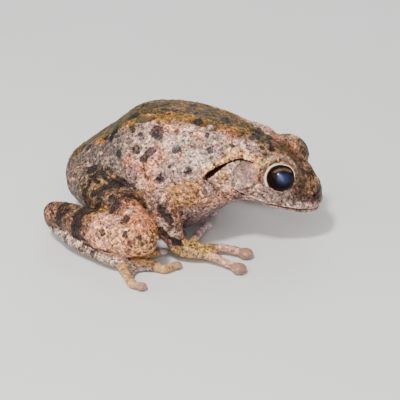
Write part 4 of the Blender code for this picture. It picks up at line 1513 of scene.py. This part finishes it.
@dataclass
class FrogSkin:
    """The one skin of the frog, from its rough union to its finest folds."""

    trunk: Trunk
    limbs: Limbs
    mouth: Mouth
    lids: Lids
    eardrum: Eardrum
    nostril: Nostril
    hips: Hips
    markings: Markings
    voxel: float = 0.24
    head_starts: float = 12.5
    head_floor: float = 6.0
    pull: float = 0.5
    even_rounds: int = 5
    joint_rounds: int = 60
    head_rounds: int = 4
    loose: Rows = ((0.34, 4.2, 1), (0.2, 1.7, 2))
    warts: Rows = ((0.13, 1.9, 7, 0.3, 0.08), (0.05, 0.8, 8, 0.5, 0.1))
    joints: Rows = (
        (-21.0, -8.5, 12.0, 4.5), (8.0, -11.8, 14.4, 3.4), (-3.1, -25.0, 8.8, 3.4),
        (-27.2, -16.7, 5.8, 3.0), (-0.9, -20.0, 15.6, 2.6), (1.9, -18.1, 4.2, 2.8),
        (8.2, -16.8, 2.0, 2.4), (-8.0, -25.4, 1.8, 2.4),
    )
    _owned: dict[tuple[Side, int], Owners] = field(default_factory=dict)

    def owners(self, points: Array, side: Side) -> Owners:
        """Finds which limb length each point belongs to.

        Args:
            points: The skin's points.
            side: The side whose limbs are read.

        Returns:
            For each length, and for finger, toe and pad together, how far along it a point is
            and how surely it belongs to it, from 0 to 1.
        """
        key = (side, len(points))
        if key in self._owned:
            return self._owned[key]
        found = {length.name: length.place(points, side) for length in self.limbs.lengths}
        pad = np.full(len(points), FAR)
        for name, digits in (("finger", self.limbs.fingers()), ("toe", self.limbs.toes())):
            along, ratio = np.zeros(len(points)), np.full(len(points), FAR)
            for digit in digits:
                one = digit.length().place(points, side)
                along = np.where(one[1] < ratio, one[0], along)
                ratio = np.minimum(ratio, one[1])
                pad = np.minimum(pad, gap(points, side.of(digit.rows[-1])) / digit.pad[0])
            found[name] = (along, ratio)
        least = np.min([ratio for _, ratio in found.values()], axis=0)
        made = {
            name: (along, ease(ratio - least, 0.18, 0.0) * ease(ratio, 1.4, 1.12))
            for name, (along, ratio) in found.items()
        }
        made["pad"] = (np.zeros(len(points)), ease(pad, 1.15, 0.85))
        self._owned[key] = made
        return made

    def _rough(self) -> Thing:
        """Joins all the forms and lays one even mesh over them.

        Returns:
            The rough skin.
        """
        shapes = self.trunk.shapes() + [one for side in Side for one in self.limbs.shapes(side)]
        made = joined("skin", shapes)
        even = made.modifiers.new("even", "REMESH")
        even.mode, even.voxel_size = "VOXEL", self.voxel
        bake(made)
        return made

    def _soften(self, mesh: Mesh) -> None:
        """Smooths the steps everywhere, and the joints and the orbits' edges the most.

        Args:
            mesh: The skin's mesh.
        """
        points = read_points(mesh)
        relax(mesh, np.full(len(points), self.pull), self.even_rounds)
        pull = np.zeros(len(points))
        for side in Side:
            for *place, reach in self.joints:
                pull = np.maximum(pull, hump(gap(points, side.of(place)), 0.0, reach))
            away = gap(points, side.of(self.trunk.orbit_centre))
            blend = hump(away, self.trunk.orbit_radius, 1.6) * ease(np.abs(points[:, 1]), 2.0, 3.5)
            pull = np.maximum(pull, blend)
        relax(mesh, self.pull * pull, self.joint_rounds)

    def _refine_head(self, mesh: Mesh) -> None:
        """Gives the head a mesh twice as fine, and the lids one four times as fine.

        Args:
            mesh: The skin's mesh.
        """
        centres = [Vector(side.of(self.lids.centre)) for side in Side]

        def on_head(edge: bmesh.types.BMEdge) -> bool:
            """Returns whether the edge is on the head."""
            ends = [vert.co for vert in edge.verts]
            return all(end.x > self.head_starts and end.z > self.head_floor for end in ends)

        def by_lids(edge: bmesh.types.BMEdge) -> bool:
            """Returns whether the edge is near an eye."""
            place = edge.verts[0].co
            return any((place - centre).length < self.lids.fine_reach for centre in centres)

        work = bmesh.new()
        work.from_mesh(mesh)
        for chosen in (on_head, by_lids):
            edges = [edge for edge in work.edges if chosen(edge)]
            bmesh.ops.subdivide_edges(work, edges=edges, cuts=1, use_grid_fill=True)
        work.to_mesh(mesh)
        work.free()
        pull = ease(read_points(mesh)[:, 0], self.head_starts - 0.5, self.head_starts + 0.5)
        relax(mesh, self.pull * pull, self.head_rounds)

    def _shape_face(self, mesh: Mesh) -> None:
        """Presses in the mouth, the eardrums, the folds and the nostrils, and opens the lids.

        Args:
            mesh: The skin's mesh.
        """
        self.mouth.press(mesh, Side.RIGHT)
        self.hips.press(mesh, Side.RIGHT)
        for side in Side:
            for relief in (self.eardrum, FOLD, CANTHUS, self.nostril):
                relief.press(mesh, side)
        for side in Side:
            write_points(mesh, self.lids.move(read_points(mesh), side))

    def _wrinkle(self, mesh: Mesh) -> None:
        """Adds loose folds and low warts, fewest on the pads and about the eyes.

        Args:
            mesh: The skin's mesh.
        """
        points, normals = read_points(mesh), read_normals(mesh)
        calm = np.ones(len(points))
        eye = self.lids.eye_radius
        for side in Side:
            calm *= 1 - self.owners(points, side)["pad"][1]
            calm *= ease(self.lids.place(points, side)[1], 1.15 * eye, 1.7 * eye)
            calm *= ease(self.eardrum.place(points, side), 2.9, 3.7)
        rise = np.zeros(len(points))
        for depth, size, seed in self.loose:
            rise += depth * (Grain(size, seed).soft(points) - 0.5)
        for depth, size, seed, foot, top in self.warts:
            rise += depth * ease(Grain(size, seed).cells(points), foot, top)
        write_points(mesh, points + normals * (calm * rise)[:, None])

    def build(self, shift: Array) -> Thing:
        """Builds the skin in the shared frame.

        Args:
            shift: What moves the frog's millimetres onto the frame.

        Returns:
            The skin, marked and smooth.
        """
        made = self._rough()
        mesh = made.data
        for step in (self._soften, self._refine_head, self._shape_face, self._wrinkle):
            step(mesh)
        points = read_points(mesh)
        points[:, 2] = np.maximum(points[:, 2], 0.0)
        colour = np.column_stack([self.markings.ground(points, self), np.ones(len(points))])
        paint = mesh.color_attributes.new("ground", "FLOAT_COLOR", "POINT")
        paint.data.foreach_set("color", colour.astype(np.float32).ravel())
        write_masks(mesh, self.markings.marks(points, self))
        write_points(mesh, (points + shift) * MM)
        mesh.shade_smooth()
        return made


@dataclass(frozen=True)
class Ramp:
    """A smooth change from start to end as what it reads rises from low to high."""

    low: float
    high: float
    start: float = 0.0
    end: float = 1.0


class Bench:
    """Wires the nodes of one material."""

    def __init__(self, name: str) -> None:
        """Starts an empty material with a principled shader.

        Args:
            name: What the material is called.
        """
        self.material = bpy.data.materials.new(name)
        self.material.use_nodes = True
        self.material.use_backface_culling = False
        self.tree = self.material.node_tree
        self.shader = self.tree.nodes["Principled BSDF"]

    def node(self, kind: str, inputs: Inputs, **settings: object) -> bpy.types.Node:
        """Adds a node.

        Args:
            kind: The node's type, without the ShaderNode that all types start with.
            inputs: What goes into its inputs: sockets to link, or values to set.
            settings: Its own properties.

        Returns:
            The node.
        """
        made = self.tree.nodes.new(f"ShaderNode{kind}")
        for name, value in settings.items():
            setattr(made, name, value)
        self.feed(made, inputs)
        return made

    def feed(self, node: bpy.types.Node, inputs: Inputs) -> None:
        """Links or sets a node's inputs.

        Args:
            node: The node.
            inputs: Sockets to link, or values to set.
        """
        for name, value in inputs.items():
            if isinstance(value, Socket):
                self.tree.links.new(value, node.inputs[name])
            else:
                node.inputs[name].default_value = value

    def settle(self, **values: object) -> None:
        """Links or sets the shader's own inputs, with underscores for the spaces."""
        self.feed(self.shader, {name.replace("_", " "): value for name, value in values.items()})

    def colour(self, value: Array) -> Socket:
        """Returns one linear colour as a source.

        Args:
            value: Its red, green and blue.

        Returns:
            The colour's socket.
        """
        made = self.node("RGB", {})
        made.outputs[0].default_value = (*value, 1.0)
        return made.outputs[0]

    def place(self) -> Socket:
        """Returns the object's own place in millimetres."""
        place = self.node("TexCoord", {}).outputs["Object"]
        return self.node("VectorMath", {0: place, "Scale": 1 / MM}, operation="SCALE").outputs[0]

    def shifted(self, place: Socket, by: Socket, reach: float) -> Socket:
        """Returns the place moved along by a value, which bends patterns read there."""
        inputs = {0: by, 1: (reach, -reach, reach), 2: place}
        return self.node("VectorMath", inputs, operation="MULTIPLY_ADD").outputs[0]

    def attribute(self, name: str, output: str = "Fac") -> Socket:
        """Reads one of the mesh's own masks or colours."""
        return self.node("Attribute", {}, attribute_name=name).outputs[output]

    def noise(self, place: Socket, scale: float, detail: float = 3.0, warp: float = 0.0) -> Socket:
        """Returns soft noise with so many waves in a millimetre, finer layers and distortion."""
        inputs = {"Vector": place, "Scale": scale, "Detail": detail, "Distortion": warp}
        return self.node("TexNoise", inputs).outputs["Fac"]

    def cells(self, place: Socket, scale: float, feature: str = "F1") -> Socket:
        """Returns the distance to the nearest of a field of rounded grains."""
        inputs = {"Vector": place, "Scale": scale}
        return self.node("TexVoronoi", inputs, feature=feature).outputs["Distance"]

    def chance(self, place: Socket, scale: float) -> Socket:
        """Gives each rounded grain of a field its own number from 0 to 1."""
        grains = self.node("TexVoronoi", {"Vector": place, "Scale": scale}, feature="F1")
        return self.node("SeparateColor", {0: grains.outputs["Color"]}).outputs[0]

    def rise(self, value: Socket, ramp: Ramp) -> Socket:
        """Reads a number through a ramp.

        Args:
            value: The number.
            ramp: What it turns into.

        Returns:
            The result.
        """
        inputs = {"From Min": ramp.low, "From Max": ramp.high, "To Min": ramp.start}
        inputs |= {"To Max": ramp.end, "Value": value}
        made = self.node("MapRange", inputs, interpolation_type="SMOOTHSTEP")
        return made.outputs["Result"]

    def times(self, first: Socket, *others: Socket | float) -> Socket:
        """Multiplies numbers.

        Args:
            first: The first number.
            others: The other numbers.

        Returns:
            Their product.
        """
        for other in others:
            first = self.node("Math", {0: first, 1: other}, operation="MULTIPLY").outputs[0]
        return first

    def plus(self, first: Socket, second: Socket | float) -> Socket:
        """Adds two numbers."""
        return self.node("Math", {0: first, 1: second}, operation="ADD").outputs[0]

    def lay(self, under: Socket, over: Socket | Array, amount: Socket, kind: str = "MIX") -> Socket:
        """Lays one colour over another.

        Args:
            under: The colour so far.
            over: The colour laid over it.
            amount: How much of it shows, from 0 to 1.
            kind: The Mix node's blend type.

        Returns:
            The mixed colour.
        """
        top = over if isinstance(over, Socket) else (*over, 1.0)
        inputs = {"Factor": amount, "A": under, "B": top}
        return self.node("Mix", inputs, data_type="RGBA", blend_type=kind).outputs["Result"]

    def bump(self, height: Socket, distance: float, strength: float = 1.0) -> None:
        """Reads a height in shares of a distance in metres as the surface's fine relief."""
        inputs = {"Height": height, "Distance": distance, "Strength": strength}
        self.settle(Normal=self.node("Bump", inputs).outputs["Normal"])


@dataclass(frozen=True)
class SkinFinish:
    """The moist, finely granular skin with its speckles and dark spots.

    Scales are in patterns to a millimetre. Shades are what a colour is multiplied by. Ramps say
    how strong a layer is where its pattern or mask has a given value.
    """

    tones: Tones = TONES
    dot_scale: float = 1.35
    fleck_scale: float = 1.45
    grain_scale: float = 2.4
    mosaic_scale: float = 1.75
    plate_scale: float = 0.5
    relief: float = 0.00011
    fine_relief: float = 0.6
    dot_shade: Row = (0.2, 0.17, 0.17)
    fleck_shade: Row = (2.1, 1.96, 1.8)
    blotch_shade: Row = (0.42, 0.36, 0.34)
    spot_shade: Row = (0.14, 0.13, 0.15)
    dim_shade: Row = (0.36, 0.32, 0.31)
    calm: Ramp = Ramp(0.2, 0.9, 1.0, 0.2)
    flush: Ramp = Ramp(0.54, 0.7, 0.0, 0.2)
    blotches: Ramp = Ramp(0.34, 0.54, 0.42, 0.0)
    plates: Ramp = Ramp(0.3, 0.6, 0.0, 0.6)
    plate_fields: Ramp = Ramp(0.42, 0.58, 0.9, 0.15)
    veins: Ramp = Ramp(0.04, 0.2, 0.6, 0.0)
    flecks: Ramp = Ramp(0.16, 0.46, 1.0, 0.0)
    fleck_fields: Ramp = Ramp(0.36, 0.6, 0.15, 0.9)
    mosaic: tuple[tuple[float, Ramp, Ramp | None], ...] = (
        (1.0, Ramp(0.0, 0.46, 0.95, 0.0), Ramp(0.62, 1.0, 0.0, 0.95)),
        (2.1, Ramp(0.0, 0.4, 0.5, 0.0), None),
        (0.5, Ramp(0.0, 0.4, 0.55, 0.0), Ramp(0.7, 1.0, 0.0, 0.6)),
    )
    halo: Ramp = Ramp(0.2, 0.8, 0.0, 0.7)
    ragged: float = 1.1
    spots: Ramp = Ramp(0.25, 0.7, 0.0, 0.97)
    dots: Ramp = Ramp(0.2, 0.44, 1.0, 0.0)
    dot_fields: Ramp = Ramp(0.36, 0.54, 0.35, 1.0)
    specks: Ramp = Ramp(0.5, 0.62, 0.0, 0.85)
    crease_shading: Ramp = Ramp(0.24, 0.6)
    rim: Ramp = Ramp(0.3, 0.8, 0.0, 0.9)
    roughness: Ramp = Ramp(0.35, 0.95, 0.4, 0.66)
    open_skin: Ramp = Ramp(0.1, 0.5, 1.0, 0.0)
    film: Ramp = Ramp(0.45, 0.9, 0.08, 0.5)
    gloss: float = 0.34
    grains: Ramp = Ramp(0.0, 0.7, 1.0, 0.0)
    flesh_radius: Row = (1.0, 0.4, 0.25)

    def material(self) -> bpy.types.Material:
        """Wires the finish.

        Returns:
            The material.
        """
        bench = Bench("frog_skin")
        place = bench.place()
        broad = bench.noise(place, 0.4, 5.0, 0.6)
        middle = bench.noise(place, 0.9, 5.0, 0.4)
        fine = bench.noise(place, 2.6, 4.0)
        grains = bench.cells(place, self.grain_scale, "SMOOTH_F1")
        wet, crease_shade = bench.attribute("wet"), bench.attribute("crease_shade")
        calm = bench.rise(wet, self.calm)
        warped, twisted = (bench.shifted(place, middle, reach) for reach in (0.5, 1.3))
        colour = bench.attribute("ground", "Color")

        def shade(by: Row, pattern: Socket, ramp: Ramp, *shares: Socket) -> None:
            """Multiplies the colours so far, least on the smooth parts.

            Args:
                by: What the colours are multiplied by.
                pattern: Where it is laid.
                ramp: How the pattern fades into an amount.
                shares: What the amount is multiplied by.
            """
            nonlocal colour
            amount = bench.times(bench.rise(pattern, ramp), *shares, calm)
            colour = bench.lay(colour, by, amount, "MULTIPLY")

        def tint(name: str, pattern: Socket, ramp: Ramp, *shares: Socket) -> None:
            """Blends a named tone into the colours so far.

            Args:
                name: The tone.
                pattern: Where it is laid.
                ramp: How the pattern fades into an amount.
                shares: What the amount is multiplied by.
            """
            nonlocal colour
            amount = bench.times(bench.rise(pattern, ramp), *shares)
            colour = bench.lay(colour, self.tones.linear(name), amount)

        tint("salmon", broad, self.flush, calm)
        shade(self.blotch_shade, middle, self.blotches)
        mottle = bench.attribute("mottle")
        fields = bench.rise(bench.noise(place, 0.55, 4.0, 1.0), self.plate_fields)
        tint("mauve", bench.chance(twisted, self.plate_scale), self.plates, fields, mottle)
        edges = bench.cells(twisted, self.plate_scale, "DISTANCE_TO_EDGE")
        tint("peach", edges, self.veins, mottle)
        fields = bench.rise(bench.noise(place, 0.9, 2.0), self.fleck_fields)
        shade(self.fleck_shade, bench.cells(warped, self.fleck_scale), self.flecks, fields)
        for share, darker, lighter in self.mosaic:
            grain = bench.chance(warped, share * self.mosaic_scale)
            shade(self.dim_shade, grain, darker)
            if lighter:
                shade(self.fleck_shade, grain, lighter)
        tint("tan", bench.attribute("halo"), self.halo)
        uneven = bench.times(bench.plus(fine, -0.5), self.ragged)
        shade(self.spot_shade, bench.plus(bench.attribute("dark"), uneven), self.spots)
        fields = bench.rise(bench.noise(place, 0.7, 3.0), self.dot_fields)
        shade(self.dot_shade, bench.cells(warped, self.dot_scale), self.dots, fields)
        shade(self.blotch_shade, fine, self.specks)
        # painted shade: darkens the creases, the nostrils, the mouth and the inner lids
        tint("shade_black", bench.plus(crease_shade, bench.times(uneven, 0.4)), self.crease_shading)
        tint("rim", bench.attribute("rim"), self.rim)
        rough = bench.rise(bench.plus(fine, bench.times(grains, 0.5)), self.roughness)
        open_skin = bench.rise(crease_shade, self.open_skin)
        height = bench.plus(bench.rise(grains, self.grains), bench.times(fine, self.fine_relief))
        bench.bump(bench.times(height, calm), self.relief)
        bench.settle(
            Base_Color=colour,
            Roughness=rough,
            Coat_Weight=bench.times(open_skin, bench.rise(wet, self.film)),
            Specular_IOR_Level=bench.times(open_skin, self.gloss),
            Coat_Roughness=0.2,
            IOR=1.38,
            Subsurface_Weight=0.08,
            Subsurface_Scale=0.0006,
            Subsurface_Radius=self.flesh_radius,
        )
        return bench.material


@dataclass(frozen=True)
class EyeFinish:
    """The wet eye: a wide dark pupil with a clouded blue painted sky reflection and a painted
    highlight sheen, in a dark, gold-topped iris.
    """

    pupil: Tone = (24, 18, 24)
    # painted reflection of the sky, a clouded blue over the pupil
    sky_reflection: Tone = (90, 92, 126)
    # painted highlight sheen, a pale blue streak around the glint
    highlight_sheen: Tone = (136, 150, 178)
    iris: Tone = (60, 38, 34)
    gold: Tone = (156, 132, 108)
    edge: Tone = (28, 19, 15)
    depths: Ramp = Ramp(0.3, 0.7)
    iris_streaks: Ramp = Ramp(0.42, 0.66, 0.0, 0.75)
    reflection_mist: Ramp = Ramp(0.3, 0.7, 0.7, 1.0)
    sheen_streaks: Ramp = Ramp(0.3, 0.6, 0.5, 1.0)
    roughness: Ramp = Ramp(0.3, 0.7, 0.2, 0.32)
    gloss: Ramp = Ramp(0.0, 1.0, 0.02, 0.8)
    relief: float = 0.00002
    relief_strength: float = 0.3

    def material(self) -> bpy.types.Material:
        """Wires the finish.

        Returns:
            The material.
        """
        bench = Bench("frog_eye")
        place = bench.place()
        streaks = bench.noise(place, 2.6, 4.0, 1.2)
        mist = bench.noise(place, 0.8, 3.0, 0.5)
        pupil, iris = (bench.colour(linear(tone)) for tone in (self.pupil, self.iris))
        colour = bench.lay(pupil, linear(self.edge), bench.rise(mist, self.depths))
        iris = bench.lay(iris, linear(self.gold), bench.attribute("gold"))
        iris = bench.lay(iris, linear(self.edge), bench.rise(streaks, self.iris_streaks))
        colour = bench.lay(colour, iris, bench.attribute("iris"))
        # painted reflection of the sky over the pupil
        sky_reflection = bench.times(bench.attribute("sky_reflection"), bench.rise(mist, self.reflection_mist))
        colour = bench.lay(colour, linear(self.sky_reflection), sky_reflection)
        # painted highlight sheen around the glint
        highlight_sheen = bench.times(bench.attribute("highlight_sheen"), bench.rise(streaks, self.sheen_streaks))
        colour = bench.lay(colour, linear(self.highlight_sheen), highlight_sheen)
        bench.bump(streaks, self.relief, self.relief_strength)
        bench.settle(
            Base_Color=colour,
            Roughness=bench.rise(streaks, self.roughness),
            Specular_IOR_Level=0.05,
            IOR=1.35,
            Coat_Weight=bench.rise(bench.attribute("gloss"), self.gloss),
            Coat_Roughness=0.02,
            Coat_IOR=1.38,
        )
        return bench.material


@dataclass(frozen=True)
class Eye:
    """One eyeball with its bulging cornea, iris and level oval pupil.

    Places and sizes on it are shares of the eye's radius, ahead and upward.
    """

    lids: Lids
    finish: EyeFinish = EyeFinish()
    rings: int = 90
    spokes: int = 120
    bulge: float = 0.14
    bulge_reach: float = 0.8
    pupil_middle: Span = (0.18, 0.04)
    pupil_half: Span = (0.68, 0.57)
    reflection_middle: Span = (0.33, 0.1)
    reflection_stretch: float = 1.25
    reflection_reach: float = 0.36
    sheen_middle: Span = (-0.02, 0.28)
    sheen_half: Span = (0.7, 1.2)
    sheen_slant: float = 0.6
    gloss_height: float = 0.3

    def _masks(self, ahead: Array, up: Array, front: Array) -> dict[str, Array]:
        """Works out the masks that the eye's finish reads.

        Args:
            ahead: How far ahead each point of the eyeball lies, as a share of the radius.
            up: How far up it lies.
            front: Whether it lies on the front.

        Returns:
            Each mask by name, from 0 to 1.
        """
        middle, half = self.pupil_middle, self.pupil_half
        oval = np.hypot((ahead - middle[0]) / half[0], (up - middle[1]) / half[1])
        ring = ease(oval, 0.97, 1.06) * front
        gold = 0.75 * ease(oval, 1.04, 1.14) * ease(oval, 1.42, 1.24) * ease(up, 0.42, 0.6)
        # painted reflection of the sky over the pupil, with a thin pale arc over its top
        middle = self.reflection_middle
        away = np.hypot((ahead - middle[0]) / self.reflection_stretch, up - middle[1])
        reflected_haze = 0.95 * hump(away, 0.0, self.reflection_reach) * (1 - ring)
        line = 0.5 * hump(oval, 1.05, 0.04) * ease(up, 0.4, 0.6)
        # painted highlight sheen, slanted round the place of the glint
        middle, half = self.sheen_middle, self.sheen_half
        leaning = ahead - middle[0] + self.sheen_slant * (up - 0.3)
        highlight_sheen = 0.6 * hump(np.hypot(leaning / half[0], (up - middle[1]) / half[1]), 0.0, 0.2)
        return {
            "iris": ring,
            "gold": 0.95 * gold * front,
            "sky_reflection": (reflected_haze + line) * front,
            "highlight_sheen": highlight_sheen * front * (1 - ring),
            "gloss": ease(np.hypot(ahead, up - self.gloss_height), 0.55, 0.3) * front,
        }

    def build(self, side: Side, shift: Array) -> Thing:
        """Builds the eye in the shared frame.

        Args:
            side: The side it belongs to.
            shift: What moves the frog's millimetres onto the frame.

        Returns:
            The eyeball.
        """
        axis = unit(side.of(self.lids.axis))
        ahead = unit(np.cross((0.0, 0.0, 1.0), axis)) * side.value
        upward = np.cross(axis, ahead) * side.value
        lift = np.linspace(0, math.pi, self.rings + 2)[1:-1]
        cosine, sine = circle(self.spokes)
        reach = self.lids.eye_radius + self.bulge * hump(lift, 0.0, self.bulge_reach)
        flat = np.sin(lift)[:, None, None] * (cosine[:, None] * ahead + sine[:, None] * upward)
        points = (flat + np.cos(lift)[:, None, None] * axis) * reach[:, None, None]
        rounded = loft(points, axis * reach[0], -axis * reach[-1])
        made = joined(f"eyeball_{side.name.lower()}", [rounded])
        mesh = made.data
        out = read_points(mesh)
        local = unit(out)
        write_masks(mesh, self._masks(local @ ahead, local @ upward, local @ axis > 0))
        write_points(mesh, (out + side.of(self.lids.centre) + shift) * MM)
        mesh.shade_smooth()
        return made


@dataclass(frozen=True)
class Studio:
    """The pale floor, the soft lamps and the camera at the picture's angle.

    A lamp is a name, a place in millimetres from the target, a width in metres and a power.
    """

    target: Row = (6.0, -11.6, 12.0)
    azimuth: float = math.radians(15)
    elevation: float = math.radians(28)
    distance: float = 320.0
    pixels_per_mm: float = 4.45
    half_picture: float = 200.0
    sensor: float = 36.0
    near: float = 0.01
    floor_size: float = 3.0
    floor_drop: float = 0.00005
    floor_tones: Rows = ((0.72, 0.71, 0.68), (0.78, 0.77, 0.75))
    floor_roughness: float = 0.8
    sky: Row = (0.9, 0.93, 1.0, 1.0)
    sky_strength: float = 0.4
    lamps: tuple[tuple[str, Row, float, float], ...] = (
        ("key", (-58.0, -205.0, 392.0), 0.065, 2.1),
        ("front", (60.0, -330.0, 240.0), 0.5, 1.2),
        ("fill", (-380.0, -160.0, 160.0), 0.4, 0.6),
        ("back", (-60.0, 360.0, 300.0), 0.4, 1.0),
    )

    def _floor(self) -> Thing:
        """Lays the floor just under the frog.

        Returns:
            The floor.
        """
        bench = Bench("studio_floor")
        dull, bright = self.floor_tones
        clouds = bench.noise(bench.place(), 0.02, 4.0)
        colour = bench.lay(bench.colour(dull), bright, clouds)
        bench.settle(Base_Color=colour, Roughness=self.floor_roughness)
        half, down = self.floor_size / 2, -self.floor_drop
        turns = ((-half, -half), (half, -half), (half, half), (-half, half))
        corners = [(*turn, down) for turn in turns]
        mesh = bpy.data.meshes.new("floor")
        mesh.from_pydata(corners, [], [(0, 1, 2, 3)])
        mesh.materials.append(bench.material)
        return placed("floor", mesh)

    @staticmethod
    def _aimed(name: str, data: bpy.types.ID, place: Vector, aim: Vector) -> Thing:
        """Puts a lamp or camera in place and turns it to what it is aimed at.

        Args:
            name: What it is called.
            data: The lamp or camera itself.
            place: Where it stands.
            aim: What it is turned to.

        Returns:
            The object.
        """
        made = placed(name, data)
        made.location = place
        made.rotation_euler = (aim - place).to_track_quat("-Z", "Y").to_euler()
        return made

    def build(self, shift: Array) -> None:
        """Sets up the floor, the lamps and the camera.

        Args:
            shift: What moves the frog's millimetres onto the frame.
        """
        self._floor()
        aim = Vector((np.array(self.target) + shift) * MM)
        for name, place, size, power in self.lamps:
            lamp = bpy.data.lights.new(name, "AREA")
            lamp.shape, lamp.size, lamp.energy = "DISK", size, power
            self._aimed(name, lamp, aim + Vector(place) * MM, aim)
        world = bpy.data.worlds.new("studio")
        world.use_nodes = True
        sky = world.node_tree.nodes["Background"].inputs
        sky["Color"].default_value = self.sky
        sky["Strength"].default_value = self.sky_strength
        lens = bpy.data.cameras.new("camera")
        lens.sensor_width, lens.clip_start = self.sensor, self.near
        lens.lens = self.sensor / 2 * self.distance * self.pixels_per_mm / self.half_picture
        turn, lift = self.azimuth, self.elevation
        level = math.cos(lift)
        away = Vector((math.sin(turn) * level, -math.cos(turn) * level, math.sin(lift)))
        scene = bpy.context.scene
        scene.world = world
        scene.camera = self._aimed("camera", lens, aim + away * self.distance * MM, aim)


LIMB_NODES = ("upper_arm", "forearm", "hand", "thigh", "shank", "foot")
FLESH = ("torso", "head", *(f"{name}_{side}" for name in LIMB_NODES for side in ("right", "left")))


def place_of_frog(lids: Lids) -> Array:
    """Works out what moves the frog's millimetres onto the shared frame.

    Args:
        lids: The lids, whose middle is that of the frame's eye.

    Returns:
        The shift in millimetres.
    """
    low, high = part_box("eye_right")
    return np.array((low + high) / 2) / MM - np.array(lids.centre)


def main() -> None:
    """Builds the frog's skin and eyes and the studio."""
    logging.basicConfig(level=logging.INFO, format="%(name)s: %(message)s")
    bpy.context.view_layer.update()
    lids = Lids()
    shift = place_of_frog(lids)
    skin = FrogSkin(Trunk(), Limbs(), Mouth(), lids, Eardrum(), Nostril(), Hips(), Markings())
    body = skin.build(shift)
    body.data.materials.append(SkinFinish().material())
    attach(body, "root")
    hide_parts(*FLESH)
    LOG.info("skin: %d points", len(body.data.vertices))
    for side in Side:
        eye = Eye(lids)
        eyeball = eye.build(side, shift)
        eyeball.data.materials.append(eye.finish.material())
        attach(eyeball, "root")
        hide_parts(f"eye_{side.name.lower()}")
        LOG.info("%s: %d points", eyeball.name, len(eyeball.data.vertices))
    studio = Studio()
    studio.build(shift)
    LOG.info("studio: floor, %d lamps and camera", len(studio.lamps))


if __name__ == "__main__":
    main()
